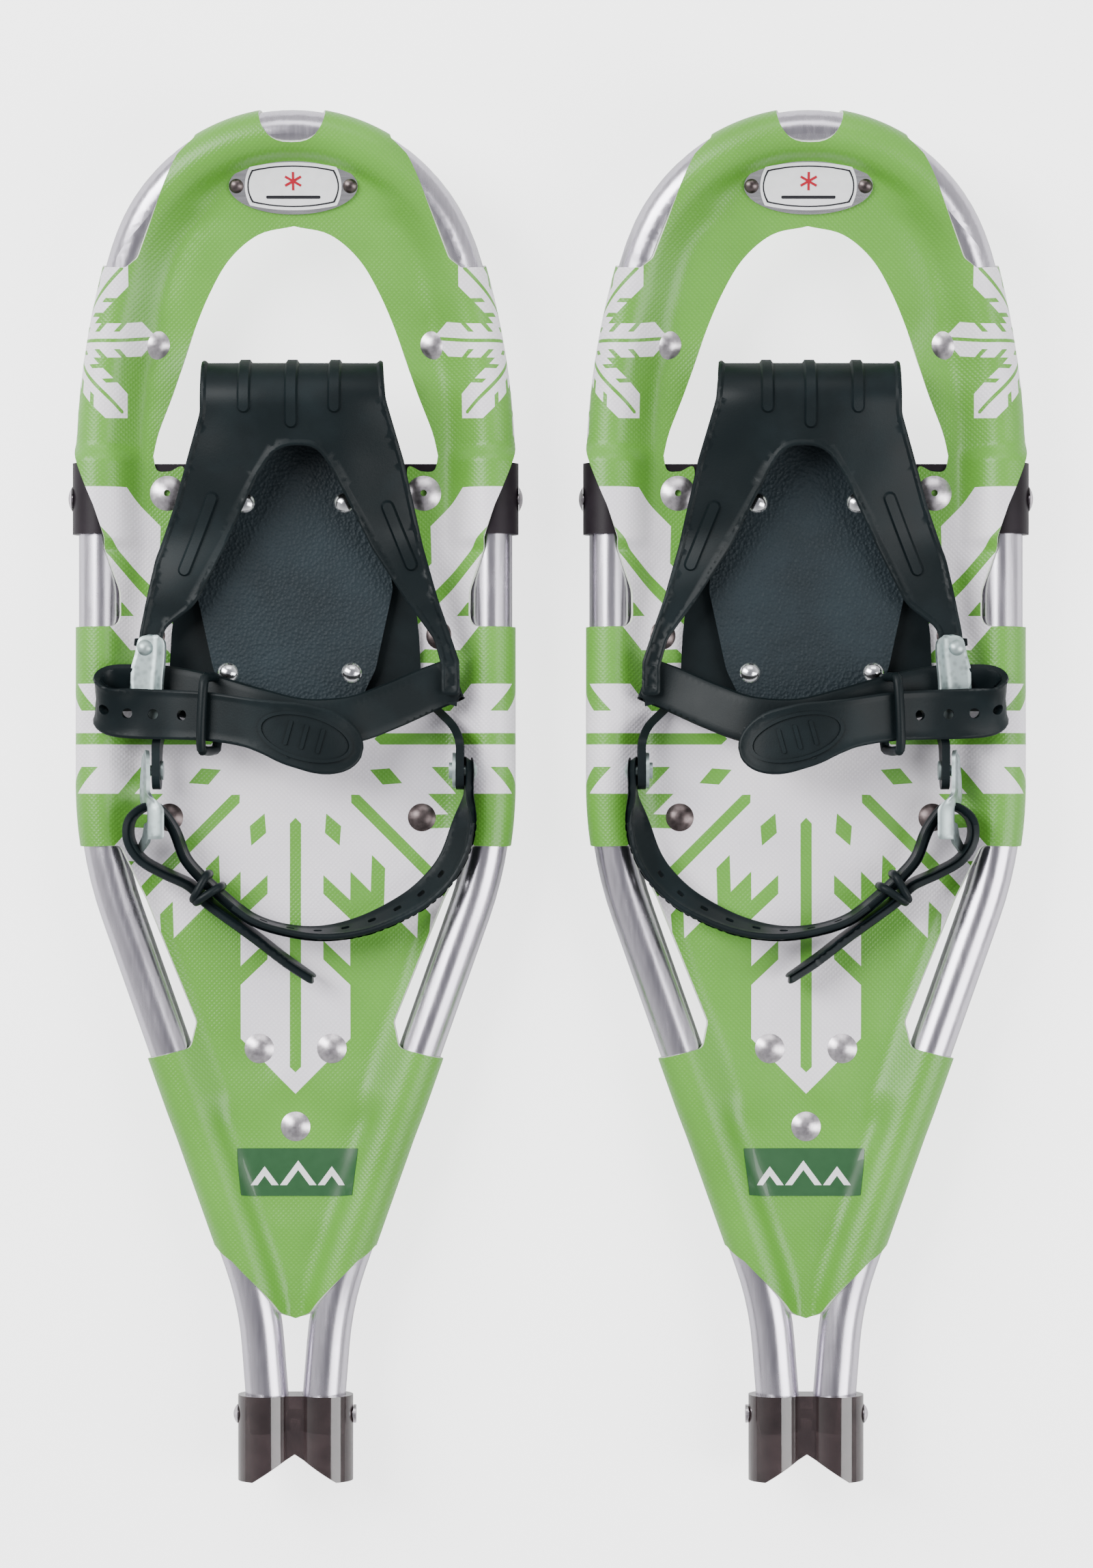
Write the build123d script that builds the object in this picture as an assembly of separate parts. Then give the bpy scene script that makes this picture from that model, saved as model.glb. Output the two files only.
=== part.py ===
from build123d import *
import os
from math import asin, atan2, cos, degrees, hypot, radians, sin, sqrt

# A pair of youth snowshoes. Each shoe is drawn in its own frame: +Y to the toe, +Z up,
# z = 0 at the height of the tube's centre, x = 0 on its middle line. The binding is drawn
# for the left shoe, with its buckles on the outer side, and the right shoe is its mirror image.

# The pair
SHOE_PITCH = 190.0          # between the two shoes' middle lines
GROUND = 26.0               # tube centre above the tips of the crampon's teeth
CENTRE_SHIFT = 0.67        # brings the middle of the overall length to the origin
GAP = 0.1                   # between parts that touch

# Frame tube
TUBE_R = 8.0
TUBE_WALL = 1.2
HALF_WIDTH = 72.7           # middle line to the tube's centre, along the straight sides
TOE_R = 63.3
TOE_SWEEP = 73.0
SHOULDER_R = 278.0
SHOULDER_SWEEP = 90.0 - TOE_SWEEP
TOE_Y = 244.6               # tube centre at the middle of the toe
SIDE_LENGTH = 114.0
WAIST_R = 142.0
TAPER_ANGLE = 19.5
TAPER_LENGTH = 137.4
FLARE_R = 120.0
TAIL_ANGLE = 4.5
TAIL_LENGTH = 33.0
UPTURN_Y = 120.0            # the toe curls up ahead of here
UPTURN_R = 400.0

# Deck
DECK_T = 1.2
WRAP_R = TUBE_R + GAP + DECK_T
DECK_REAR = -194.0
NOTCH_R = 13.2              # half-moon at the middle of the toe
NOTCH_Y = 255.0
OPENING_HALF = 40.8         # toe opening beside the hinge strap
OPENING_REAR = 74.0

# Tail cap
CAP_FRONT = -222.2
CAP_REAR = -253.9
CAP_R = 10.25
CAP_HALF = 11.2             # centres of the cap's two lobes
CAP_NOTCH_HALF = 17.0
CAP_NOTCH_TOP = -243.8
CAP_RIVET_Y = -229.5

# Hinge strap
STRAP_Y = 110.8
STRAP_WIDTH = 26.4
STRAP_T = 2.5
STRAP_Z = -(DECK_T / 2 + GAP + STRAP_T / 2)
STRAP_R = TUBE_R + 0.15 + STRAP_T - 0.35
STRAP_SPLIT = 40.0          # where the end pieces meet the centre piece
STRAP_SPLIT_GAP = 0.15

# Binding stack, from the deck upwards
BASE_BOTTOM = 0.9
SHEET_T = 2.5
BASE_TOP = BASE_BOTTOM + SHEET_T
LEAF_BOTTOM = BASE_TOP + GAP / 2
LEAF_TOP = LEAF_BOTTOM + SHEET_T
PAD_BOTTOM = LEAF_TOP + GAP / 2
PAD_T = 2.5
PAD_TOP = PAD_BOTTOM + PAD_T
BINDING_FRONT = 145.0

# Toe harness, seen from the side
CURL_R = 12.65
CURL_SLOPE = 12.0
CURL_Y = 146.0
ARM_Z = 15.0                # middle of the arms' level ends
LEAF_REAR = 88.0
ARM_EASE_R = 40.0
ARM_REAR = 37.0

# Instep strap, seen from the front
INSTEP_T = 3.0
INSTEP_LOOP_R = 3.6
INSTEP_LOW_Z = 14.2
INSTEP_SLOPE_LOW = (-44.0, -15.0)
INSTEP_RISE = 10.3
INSTEP_LOOP_X = -67.0
KEEPER_X = -30.0
BUCKLE_PIVOT = (-54.5, 55.0)
BUCKLE_BOTTOM = 16.7
PLATE_T = 1.6

# Heel strap and its two rivets, which share one swing axis along X
HEEL_Y = 9.8
HEEL_Z = 13.0
HEEL_HEIGHT = 12.0
HEEL_T = 3.0
HEEL_ARM_X = 61.5
HEEL_BUCKLE_ARM_X = -50.5
HEEL_KEEPER = (-32.6, -34.4)
HEEL_KEEPER_ANGLE = 137.0
STRAND_OFFSET = 2.3         # each strand from the keeper's middle

# Fasteners
SHANK_R = 2.0
DECK_RIVETS = ((-52.0, 168.0), (52.0, 168.0), (-13.5, -93.6), (13.5, -93.6), (0.0, -122.6))
CLEAT_RIVETS = ((53.8, 60.0), (47.0, -7.6))
STRAP_RIVET = (47.7, 113.0)
PAD_FRONT_RIVETS = ((-18.5, 109.0), (18.5, 109.0))
PAD_REAR_RIVETS = ((-24.6, 46.0), (21.2, 46.0))

# Badge
BADGE_Y = 225.7
BADGE_LENGTH = 47.5
BADGE_WIDTH = 21.0
BADGE_T = 0.8
PANEL_LENGTH = 35.6
PANEL_WIDTH = 17.7
PANEL_T = 0.5
BADGE_RIVET_X = 21.0

# Crampon and heel cleats
SHEET_STEEL = 1.5
CRAMPON_HALF = 33.0
CRAMPON_FRONT = 136.0
CRAMPON_REAR = 87.0
CRAMPON_TOP = STRAP_Z - STRAP_T / 2 - GAP
CLEAT_OVERHANG = 9.0
CLEAT_HALF = 7.0


def mirrored(shape):
    """The same shape on the other side of the middle line."""
    return mirror(shape, about=Plane.YZ)


def both_sides(shape):
    """A shape and its mirror image as separate solids of one node."""
    return Compound(children=[*shape.solids(), *mirrored(shape).solids()])


def prism(outline, bottom=-60, top=80):
    """A plan outline as an upright block."""
    return extrude(Plane.XY.offset(bottom) * outline, amount=top - bottom)


def side_prism(outline, left=-90, right=90):
    """An outline seen from the side, drawn as (y, z), as a block along X."""
    return extrude(Plane.YZ.offset(left) * outline, amount=right - left)


def block(x, y, z):
    """A box between pairs of x, y and z."""
    size = Box(x[1] - x[0], y[1] - y[0], z[1] - z[0])
    return Pos((x[0] + x[1]) / 2, (y[0] + y[1]) / 2, (z[0] + z[1]) / 2) * size


def polygon(points, corners=None):
    """A closed outline, with a fillet radius at each corner where given."""
    if corners is None:
        return make_face(Polyline(*points, close=True))
    return make_face(FilletPolyline(*points, radius=corners, close=True))


def pin(x, y, radius, bottom, top):
    """An upright cylinder, for a shank or the hole round one."""
    return Pos(x, y, (bottom + top) / 2) * Cylinder(radius, top - bottom)


def rivet(bottom, top, head_r, head_h, tail_r=SHANK_R + 1.5, tail_h=1.0, bore_r=0):
    """A rivet on the Z axis: domed head above top, shank, and upset tail below bottom."""
    sphere_r = (head_r**2 + head_h**2) / (2 * head_h)
    dome_mid = (head_r / 2, top + head_h - sphere_r + sqrt(sphere_r**2 - head_r**2 / 4))
    dome = ThreePointArc((0, top + head_h), dome_mid, (head_r, top))
    upset = [(SHANK_R, bottom), (tail_r, bottom), (tail_r, bottom - tail_h), (0, bottom - tail_h)]
    if not tail_r:
        upset = [(SHANK_R, bottom), (0, bottom)]
    steps = Polyline((head_r, top), (SHANK_R, top), *upset, (0, top + head_h))
    body = revolve(Plane.XZ * make_face([dome, *steps.edges()]), Axis.Z)
    if bore_r:
        body -= pin(0, 0, bore_r, bottom - 2 * tail_h, top + 2 * head_h)
    return body


def plan_half(inset=0.0):
    """The tube's centreline in plan on the +X side, or a line inside it, from toe to tail end."""
    toe = JernArc((0, TOE_Y - inset), (1, 0), TOE_R - inset, -TOE_SWEEP)
    shoulder = JernArc(toe @ 1, toe % 1, SHOULDER_R - inset, -SHOULDER_SWEEP)
    side = Line(shoulder @ 1, (shoulder @ 1) + (shoulder % 1) * SIDE_LENGTH)
    waist = JernArc(side @ 1, side % 1, WAIST_R - inset, -TAPER_ANGLE)
    taper = Line(waist @ 1, (waist @ 1) + (waist % 1) * TAPER_LENGTH)
    flare = JernArc(taper @ 1, taper % 1, FLARE_R + inset, TAPER_ANGLE - TAIL_ANGLE)
    tail = Line(flare @ 1, (flare @ 1) + (flare % 1) * TAIL_LENGTH)
    return [toe, shoulder, side, waist, taper, flare, tail]


def rise(y):
    """Height of the upturned toe at a place along the shoe."""
    run = max(0.0, y - UPTURN_Y)
    return UPTURN_R - sqrt(UPTURN_R**2 - run**2)


def crown():
    """The toe's centreline from side to side, lifted by the upturn."""
    toe, shoulder, *_ = plan_half()
    right = [shoulder @ (1 - step / 4) for step in range(4)]
    right += [toe @ (1 - step / 6) for step in range(6)]
    left = [Vector(-point.X, point.Y) for point in reversed(right)]
    points = [*right, toe @ 0, *left]
    lifted = [(point.X, point.Y, rise(point.Y)) for point in points]
    return Spline(*lifted, tangents=[(0, 1, 0), (0, -1, 0)])


def swept(radius, path):
    """A round bar along a path."""
    start = Plane(origin=path @ 0, z_dir=path % 0)
    return sweep(start * Circle(radius), path=path)


def leg_bar(radius):
    """A round bar along the right leg of the tube, behind the shoulder."""
    leg_path = Wire([edge for line in plan_half()[2:] for edge in line.edges()])
    return swept(radius, leg_path)


def tube_bar(radius):
    """A round bar along the tube's whole centreline."""
    leg = leg_bar(radius)
    return swept(radius, crown()) + leg + mirrored(leg)


def frame_tube():
    tube = tube_bar(TUBE_R) - tube_bar(TUBE_R - TUBE_WALL)
    tube -= Pos(0, STRAP_Y, 0) * Rot(0, 90, 0) * Cylinder(SHANK_R + GAP, 3 * HALF_WIDTH)
    tube -= Pos(0, CAP_RIVET_Y, 0) * Rot(0, 90, 0) * Cylinder(SHANK_R + GAP, 5 * CAP_R)
    return tube


def inside_tube(inset):
    """The right half of the plan inside the tube, set in from its centreline."""
    edges = [edge for line in plan_half(inset) for edge in line.edges()]
    end = edges[-1] @ 1
    closing = Polyline(end, (0, end.Y), (0, TOE_Y - inset))
    return make_face([*edges, *closing.edges()])


def deck_outline():
    """The right half of the deck's cut edge in plan. Beyond the tube it stands clear of the wrapped flaps."""
    beyond = HALF_WIDTH + WRAP_R + 4
    corners = (
        (0, 262, 0), (33.5, 262, 0), (41, 239.5, 0), (57.5, 200, 4), (61.5, 196.5, 2),
        (beyond, 196.5, 0), (beyond, 131, 0), (76, 108.5, 0), (64.5, 76.6, 8), (64.5, 63.1, 5),
        (beyond, 63.1, 0), (beyond, -18, 0), (64.4, -18, 3), (55, -37.5, 0), (36.2, -84, 4),
        (38.5, -93.2, 4), (60, -98.5, 0), (33, -174, 0), (26.4, -173, 3), (7, -192, 6), (0, DECK_REAR, 0),
    )
    return polygon([point[:2] for point in corners], [point[2] for point in corners])


def toe_opening():
    """The right half of the opening in front of and under the binding, in plan."""
    arch = Spline((0, 211), (20.5, 202), (33.7, 182), (45, 151), (52, 131), (52.5, 126),
                  tangents=[(1, 0), (0, -1)])
    sides = Polyline((52.5, 126), (51, 122.5), (47, 121.2), (OPENING_HALF, 121), (OPENING_HALF, OPENING_REAR),
                     (0, OPENING_REAR), (0, 211))
    return make_face([*arch.edges(), *sides.edges()])


def deck():
    """Coated fabric: a sheet at the tube's mid-height, wrapped round the tube's legs in flaps."""
    half = DECK_T / 2
    flat = Polyline((UPTURN_Y, half), (DECK_REAR - 4, half), (DECK_REAR - 4, -half), (UPTURN_Y, -half))
    sweep_angle = degrees(asin(140 / UPTURN_R))
    above = CenterArc((UPTURN_Y, UPTURN_R), UPTURN_R - half, -90, sweep_angle)
    below = CenterArc((UPTURN_Y, UPTURN_R), UPTURN_R + half, -90, sweep_angle)
    slab = make_face([*flat.edges(), *above.edges(), *below.edges(), *Line(above @ 1, below @ 1).edges()])
    plan = (inside_tube(TUBE_R + half) & deck_outline()) - toe_opening() - Pos(0, NOTCH_Y) * Circle(NOTCH_R)
    cloth = side_prism(slab, 0, 90) & prism(plan)
    flaps = (leg_bar(WRAP_R) - leg_bar(TUBE_R + GAP)) & prism(deck_outline())
    cloth += flaps
    cloth -= Pos(HALF_WIDTH, STRAP_Y, 0) * Rot(90, 0, 0) * Cylinder(STRAP_R + GAP, STRAP_WIDTH + 0.4)
    for x, y in (*DECK_RIVETS, *CLEAT_RIVETS, STRAP_RIVET):
        cloth -= pin(x, y, SHANK_R + GAP, -40, 40)
    cloth -= badge_place(0) * pin(BADGE_RIVET_X, 0, SHANK_R / 2 + GAP, -5, 5)
    cloth = max(cloth.solids(), key=lambda solid: solid.volume)
    return cloth + mirrored(cloth)


def deck_rivets():
    """Domed rivets that hold each flap back against the deck."""
    rivets = []
    for x, y in DECK_RIVETS:
        tilt = Rot(degrees(asin(max(0, y - UPTURN_Y) / UPTURN_R)), 0, 0)
        half = DECK_T / 2 + GAP
        rivets.append(Pos(x, y, rise(y)) * tilt * rivet(-half, half, 5.5, 1.7))
    return Compound(children=rivets)


def badge_place(height):
    """Where the badge lies on the upturned deck, at a height above the deck's middle."""
    slope = degrees(asin((BADGE_Y - UPTURN_Y) / UPTURN_R))
    return Pos(0, BADGE_Y, rise(BADGE_Y)) * Rot(slope, 0, 0) * Pos(0, 0, height)


BADGE_BOTTOM = DECK_T / 2 + 0.3


def badge_plate():
    plate = extrude(Ellipse(BADGE_LENGTH / 2, BADGE_WIDTH / 2), amount=BADGE_T)
    for x in (-BADGE_RIVET_X, BADGE_RIVET_X):
        plate -= pin(x, 0, SHANK_R / 2 + GAP, -1, 2)
    return badge_place(BADGE_BOTTOM) * plate


def badge_panel():
    """Raised panel with bowed sides that fills the middle of the badge."""
    bow = 1.8
    x = PANEL_LENGTH / 2
    y = PANEL_WIDTH / 2
    rear = ThreePointArc((x - bow, -y + bow), (0, -y), (-x + bow, -y + bow))
    front = ThreePointArc((-x + bow, y - bow), (0, y), (x - bow, y - bow))
    left = ThreePointArc(rear @ 1, (-x, 0), front @ 0)
    right = ThreePointArc(front @ 1, (x, 0), rear @ 0)
    panel = extrude(make_face([rear, left, front, right]), amount=PANEL_T)
    return badge_place(BADGE_BOTTOM + BADGE_T + GAP / 2) * panel


def badge_rivets():
    rivets = []
    for x in (-BADGE_RIVET_X, BADGE_RIVET_X):
        top = BADGE_BOTTOM + BADGE_T + GAP / 2
        small = pin(0, 0, SHANK_R / 2, -DECK_T / 2 - 0.8, top)
        small += pin(0, 0, SHANK_R, -DECK_T / 2 - 0.8, -DECK_T / 2 - 0.1)
        cap = Pos(0, 0, top - 2.4) * Sphere(3.6)
        small += cap & block((-4, 4), (-4, 4), (top, top + 4))
        rivets.append(badge_place(0) * Pos(x, 0, 0) * small)
    return Compound(children=rivets)


def tail_cap():
    """Moulded sleeve over both tube ends, pinched between them, with a V cut in its end."""
    length = CAP_FRONT - CAP_REAR
    lobes = Pos(-CAP_HALF, 0) * Circle(CAP_R) + Pos(CAP_HALF, 0) * Circle(CAP_R)
    section = lobes + Rectangle(2 * CAP_HALF, 1.3 * CAP_R)
    cap = extrude(Plane(origin=(0, CAP_REAR, 0), x_dir=(1, 0, 0), z_dir=(0, 1, 0)) * section, amount=length)
    leg = leg_bar(TUBE_R + GAP)
    cap -= leg
    cap -= mirrored(leg)
    cap -= prism(polygon(((-CAP_NOTCH_HALF, CAP_REAR - 1), (CAP_NOTCH_HALF, CAP_REAR - 1), (0, CAP_NOTCH_TOP))))
    cap -= Pos(0, CAP_RIVET_Y, 0) * Rot(0, 90, 0) * Cylinder(SHANK_R + GAP, 5 * CAP_R)
    return cap


def tail_cap_rivet():
    """One long rivet across the cap and both tube ends."""
    reach = CAP_HALF + CAP_R + GAP
    return Pos(0, CAP_RIVET_Y, 0) * Rot(0, -90, 0) * rivet(-reach, reach, 3.6, 1.6, tail_r=3.4, tail_h=1.0)


def hinge_strap_ends():
    """Rubber strap wrapped round each side tube, with a web inwards under the deck."""
    ends = (STRAP_Y - STRAP_WIDTH / 2, STRAP_Y + STRAP_WIDTH / 2)
    place = Pos(HALF_WIDTH, STRAP_Y, 0) * Rot(90, 0, 0)
    wrap = place * Cylinder(STRAP_R, STRAP_WIDTH)
    heights = (STRAP_Z - STRAP_T / 2, STRAP_Z + STRAP_T / 2)
    wrap += block((STRAP_SPLIT + STRAP_SPLIT_GAP, HALF_WIDTH), ends, heights)
    wrap -= place * Cylinder(TUBE_R + 0.15, STRAP_WIDTH + 2)
    wrap -= pin(*STRAP_RIVET, SHANK_R + GAP, -10, 10)
    wrap -= Pos(HALF_WIDTH, STRAP_Y, 0) * Rot(0, 90, 0) * Cylinder(SHANK_R + GAP, 40)
    return both_sides(wrap)


def strap_tube_rivets():
    """Rivets through the strap into the outer wall of each tube."""
    outer = HALF_WIDTH + STRAP_R + GAP
    body = rivet(HALF_WIDTH + TUBE_R - 2 * TUBE_WALL, outer, 4.6, 1.5, tail_r=0)
    return both_sides(Pos(0, STRAP_Y, 0) * Rot(0, 90, 0) * body)


def strap_deck_rivets():
    """Hollow rivets with wide domed heads through deck tab and strap."""
    x, y = STRAP_RIVET
    body = rivet(STRAP_Z - STRAP_T / 2 - GAP, DECK_T / 2 + GAP, 6.5, 1.9, tail_r=4.5, tail_h=0.8, bore_r=1.2)
    return both_sides(Pos(x, y, 0) * body)


def hinge_strap_centre():
    half = STRAP_SPLIT - STRAP_SPLIT_GAP
    ends = (STRAP_Y - STRAP_WIDTH / 2, STRAP_Y + STRAP_WIDTH / 2)
    strap = block((-half, half), ends, (STRAP_Z - STRAP_T / 2, STRAP_Z + STRAP_T / 2))
    for x, y in PAD_FRONT_RIVETS:
        strap -= pin(x, y, SHANK_R + GAP, -10, 10)
    return strap


def toothed(length, depth, count, root=4.0):
    """A toothed edge drawn as (along, down): a root strip with a row of pointed teeth."""
    pitch = length / count
    points = [(-length / 2, 0), (-length / 2, -root)]
    for tooth in range(count):
        start = -length / 2 + tooth * pitch
        points += [(start + pitch * 0.12, -root), (start + pitch / 2, -depth), (start + pitch * 0.88, -root)]
    points += [(length / 2, -root), (length / 2, 0)]
    return polygon(points)


def crampon():
    """Steel plate under the hinge strap, with toothed edges bent down in front, behind and beside."""
    depth = GROUND + CRAMPON_TOP
    middle = (CRAMPON_FRONT + CRAMPON_REAR) / 2
    length = CRAMPON_FRONT - CRAMPON_REAR
    steel = block((-CRAMPON_HALF, CRAMPON_HALF), (CRAMPON_REAR, CRAMPON_FRONT),
                  (CRAMPON_TOP - SHEET_STEEL, CRAMPON_TOP))
    front = Plane(origin=(0, CRAMPON_FRONT, CRAMPON_TOP), x_dir=(1, 0, 0), z_dir=(0, -1, 0))
    steel += extrude(front * toothed(2 * CRAMPON_HALF, depth, 4), amount=SHEET_STEEL)
    rear = Plane(origin=(0, CRAMPON_REAR, CRAMPON_TOP), x_dir=(-1, 0, 0), z_dir=(0, 1, 0))
    steel += extrude(rear * toothed(2 * CRAMPON_HALF, depth - 2, 2), amount=SHEET_STEEL)
    side = Plane(origin=(CRAMPON_HALF, middle, CRAMPON_TOP), x_dir=(0, 1, 0), z_dir=(1, 0, 0))
    flank = extrude(side * toothed(length, depth - 1, 3), amount=-SHEET_STEEL)
    steel += flank
    steel += mirrored(flank)
    for x, y in PAD_FRONT_RIVETS:
        steel -= pin(x, y, SHANK_R + GAP, -10, 0)
    return steel


def cleat_frame():
    """Where one heel cleat lies: its middle, and its angle from the shoe's length."""
    (front_x, front_y), (rear_x, rear_y) = CLEAT_RIVETS
    angle = degrees(atan2(front_x - rear_x, front_y - rear_y))
    length = hypot(front_x - rear_x, front_y - rear_y) + 2 * CLEAT_OVERHANG
    return Pos((front_x + rear_x) / 2, (front_y + rear_y) / 2, 0) * Rot(0, 0, -angle), length


def heel_cleats():
    """Toothed angle bars under the deck, one along each side of the heel."""
    place, length = cleat_frame()
    top = -DECK_T / 2 - GAP
    bar = block((-CLEAT_HALF, CLEAT_HALF), (-length / 2, length / 2), (top - SHEET_STEEL, top))
    web = Plane(origin=(-CLEAT_HALF, 0, top), x_dir=(0, 1, 0), z_dir=(1, 0, 0))
    bar += extrude(web * toothed(length, GROUND + top, 5), amount=SHEET_STEEL)
    bar = place * bar
    for x, y in CLEAT_RIVETS:
        bar -= pin(x, y, SHANK_R + GAP, -10, 0)
    return both_sides(bar)


def heel_cleat_rivets():
    pair = []
    for x, y in CLEAT_RIVETS:
        bottom = -DECK_T / 2 - 2 * GAP - SHEET_STEEL
        pair.append(Pos(x, y, 0) * rivet(bottom, DECK_T / 2 + GAP, 5.2, 1.7))
    return both_sides(Compound(children=pair))


def heel_arm(points):
    """Upright rubber arm that rises from the base's wing to a heel rivet."""
    band = prism(trace(FilletPolyline(*points, radius=15), HEEL_T), BASE_BOTTOM, HEEL_Z + HEEL_HEIGHT / 2)
    low = HEEL_Z - HEEL_HEIGHT / 2
    high = HEEL_Z + HEEL_HEIGHT / 2
    end = HEEL_Y - 7
    profile = polygon(((56, BASE_BOTTOM), (56, BASE_TOP), (34, BASE_TOP), (21, high), (end, high),
                       (end, low), (13, low), (25, BASE_BOTTOM)), (0, 0, 4, 4, 5, 5, 5, 5))
    return band & side_prism(profile)


def binding_base():
    """Moulded rubber base: a boss on the hinge strap, side wings, and an arm to each heel rivet."""
    half = ((0, BINDING_FRONT), (30, BINDING_FRONT), (36, 124), (37.5, 96), (44, 78), (46, 60),
            (47, 40), (40, 31), (0, 31))
    outline = polygon(half, (0, 6, 10, 10, 20, 20, 5, 8, 0))
    base = prism(outline + mirrored(outline), BASE_BOTTOM, BASE_TOP)
    base += block((-30, 30), (STRAP_Y - 12.5, STRAP_Y + 12.5), (STRAP_Z + STRAP_T / 2 + GAP / 2, BASE_BOTTOM))
    base += heel_arm(((43, 54), (47, 38), (HEEL_ARM_X, 24), (HEEL_ARM_X, 0)))
    base += heel_arm(((-43, 54), (-46, 36), (HEEL_BUCKLE_ARM_X, 20), (HEEL_BUCKLE_ARM_X, 0)))
    for x, y in (*PAD_FRONT_RIVETS, *PAD_REAR_RIVETS):
        base -= pin(x, y, SHANK_R + GAP, -10, 10)
    base -= Pos(0, HEEL_Y, HEEL_Z) * Rot(0, 90, 0) * Cylinder(SHANK_R + GAP, 200)
    return base


def foot_pad():
    """Textured plate under the ball of the foot."""
    half = ((0, BINDING_FRONT), (30, BINDING_FRONT), (31, 110), (36.5, 77), (30, 47), (24, 35), (0, 35))
    outline = polygon(half, (0, 8, 60, 10, 20, 6, 0))
    pad = prism(outline + mirrored(outline), PAD_BOTTOM, PAD_TOP)
    for x, y in (*PAD_FRONT_RIVETS, *PAD_REAR_RIVETS):
        pad -= pin(x, y, SHANK_R + GAP, 0, 20)
    return pad


def foot_pad_rivets():
    """The front pair goes through to the crampon, the rear pair into the base."""
    through = CRAMPON_TOP - SHEET_STEEL - GAP
    rivets = [Pos(x, y, 0) * rivet(through, PAD_TOP + GAP, 3.85, 1.9) for x, y in PAD_FRONT_RIVETS]
    flush = rivet(BASE_BOTTOM + 0.6, PAD_TOP + GAP, 3.85, 1.9, tail_r=0)
    rivets += [Pos(x, y, 0) * flush for x, y in PAD_REAR_RIVETS]
    return Compound(children=rivets)


def harness_side():
    """The harness sheet from the side: a leaf under the pad, the curl, and the slope to the arms."""
    middle = (LEAF_BOTTOM + LEAF_TOP) / 2
    leaf = Line((LEAF_REAR, middle), (CURL_Y, middle))
    curl = JernArc(leaf @ 1, leaf % 1, CURL_R, 180 + CURL_SLOPE)
    drop = (curl @ 1).Y - ARM_Z - ARM_EASE_R * (1 - cos(radians(CURL_SLOPE)))
    slope = Line(curl @ 1, (curl @ 1) + (curl % 1) * (drop / sin(radians(CURL_SLOPE))))
    ease = JernArc(slope @ 1, slope % 1, ARM_EASE_R, -CURL_SLOPE)
    arm = Line(ease @ 1, (ARM_REAR, (ease @ 1).Y))
    return leaf, curl, slope, ease, arm


def toe_harness():
    """Moulded rubber toe loop, curled up and back over the toe, with an arm down each side."""
    leaf, curl, slope, ease, arm = harness_side()
    lower = side_prism(trace(leaf, SHEET_T))
    lower &= prism(polygon(((-33, 170), (33, 170), (33, 124), (29, LEAF_REAR), (-29, LEAF_REAR), (-33, 124))))
    upper = side_prism(trace(curl + slope + ease + arm, SHEET_T))
    outline = (
        (-33.4, 162, 0), (-32.4, 140, 0), (-44, 108, 20), (-51, 88, 0), (-57, 60, 20), (-59, 50, 3),
        (-49, 50, 3), (-47, 60, 6), (-25, 93, 30), (2.8, 141, 12), (29, 93, 30), (50.5, 62, 10),
        (54.6, 50, 4), (54.6, ARM_REAR - 1, 0), (62, ARM_REAR - 1, 0), (61.5, 50, 4), (53, 73, 20),
        (47.5, 93, 20), (41, 124.5, 20), (34, 147, 10), (32.8, 162, 0),
    )
    upper &= prism(polygon([point[:2] for point in outline], [point[2] for point in outline]))
    harness = lower + upper
    for x, y in PAD_FRONT_RIVETS:
        harness -= pin(x, y, SHANK_R + GAP, 0, 10)
    harness -= pin(*BUCKLE_PIVOT, SHANK_R + GAP, 0, 30)
    return harness


def instep_levels():
    """Middle heights of the instep strap's two layers: low and raised, lower then upper."""
    upper = INSTEP_LOW_Z + 2 * INSTEP_LOOP_R
    return INSTEP_LOW_Z, INSTEP_LOW_Z + INSTEP_RISE, upper, upper + INSTEP_RISE - 0.2


def front_prism(outline, rear, front):
    """An outline seen from the front, drawn as (x, z), as a block along Y."""
    return extrude(Plane(origin=(0, front, 0), x_dir=(1, 0, 0), z_dir=(0, -1, 0)) * outline, amount=front - rear)


def instep_strap():
    """Rubber strap from the right arm over to the buckle, looped back over itself to an oval tip."""
    low, raised, low_upper, raised_upper = instep_levels()
    slope_start, slope_end = INSTEP_SLOPE_LOW
    under_line = FilletPolyline((64, 12.1), (53.5, 12.1), (20, raised), (slope_end, raised),
                                (slope_start, low), (INSTEP_LOOP_X, low), radius=9)
    over_line = FilletPolyline((INSTEP_LOOP_X, low_upper), (slope_start, low_upper), (slope_end, raised_upper),
                               (6, raised_upper), (27, 27), radius=9)
    loop_line = CenterArc((INSTEP_LOOP_X, low + INSTEP_LOOP_R), INSTEP_LOOP_R, 90, 180)
    under = front_prism(trace(under_line, INSTEP_T), 10, 60)
    under &= prism(polygon(((64, 52), (64, 37), (22, 20), (-5, 19), (-34, 26), (-68, 30), (-68, 47.5),
                            (-30, 41), (-5, 36), (22, 35)), (3, 3, 30, 40, 40, 0, 0, 40, 40, 30)))
    over = front_prism(trace(over_line, INSTEP_T), 5, 45)
    tongue = Pos(4, 22) * Rot(0, 0, -14) * Ellipse(22, 11.8)
    tongue += polygon(((-68, 22), (-30, 21), (-8, 14), (-8, 33), (-30, 39), (-68, 39.5)))
    over &= prism(tongue)
    loop = front_prism(trace(loop_line, INSTEP_T), 24, 44)
    strap = under + over + loop
    for hole in range(4):
        strap -= pin(-69.5 + 9.8 * hole + 3, 31, 1.9, 17.5, 30)
    return strap


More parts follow.
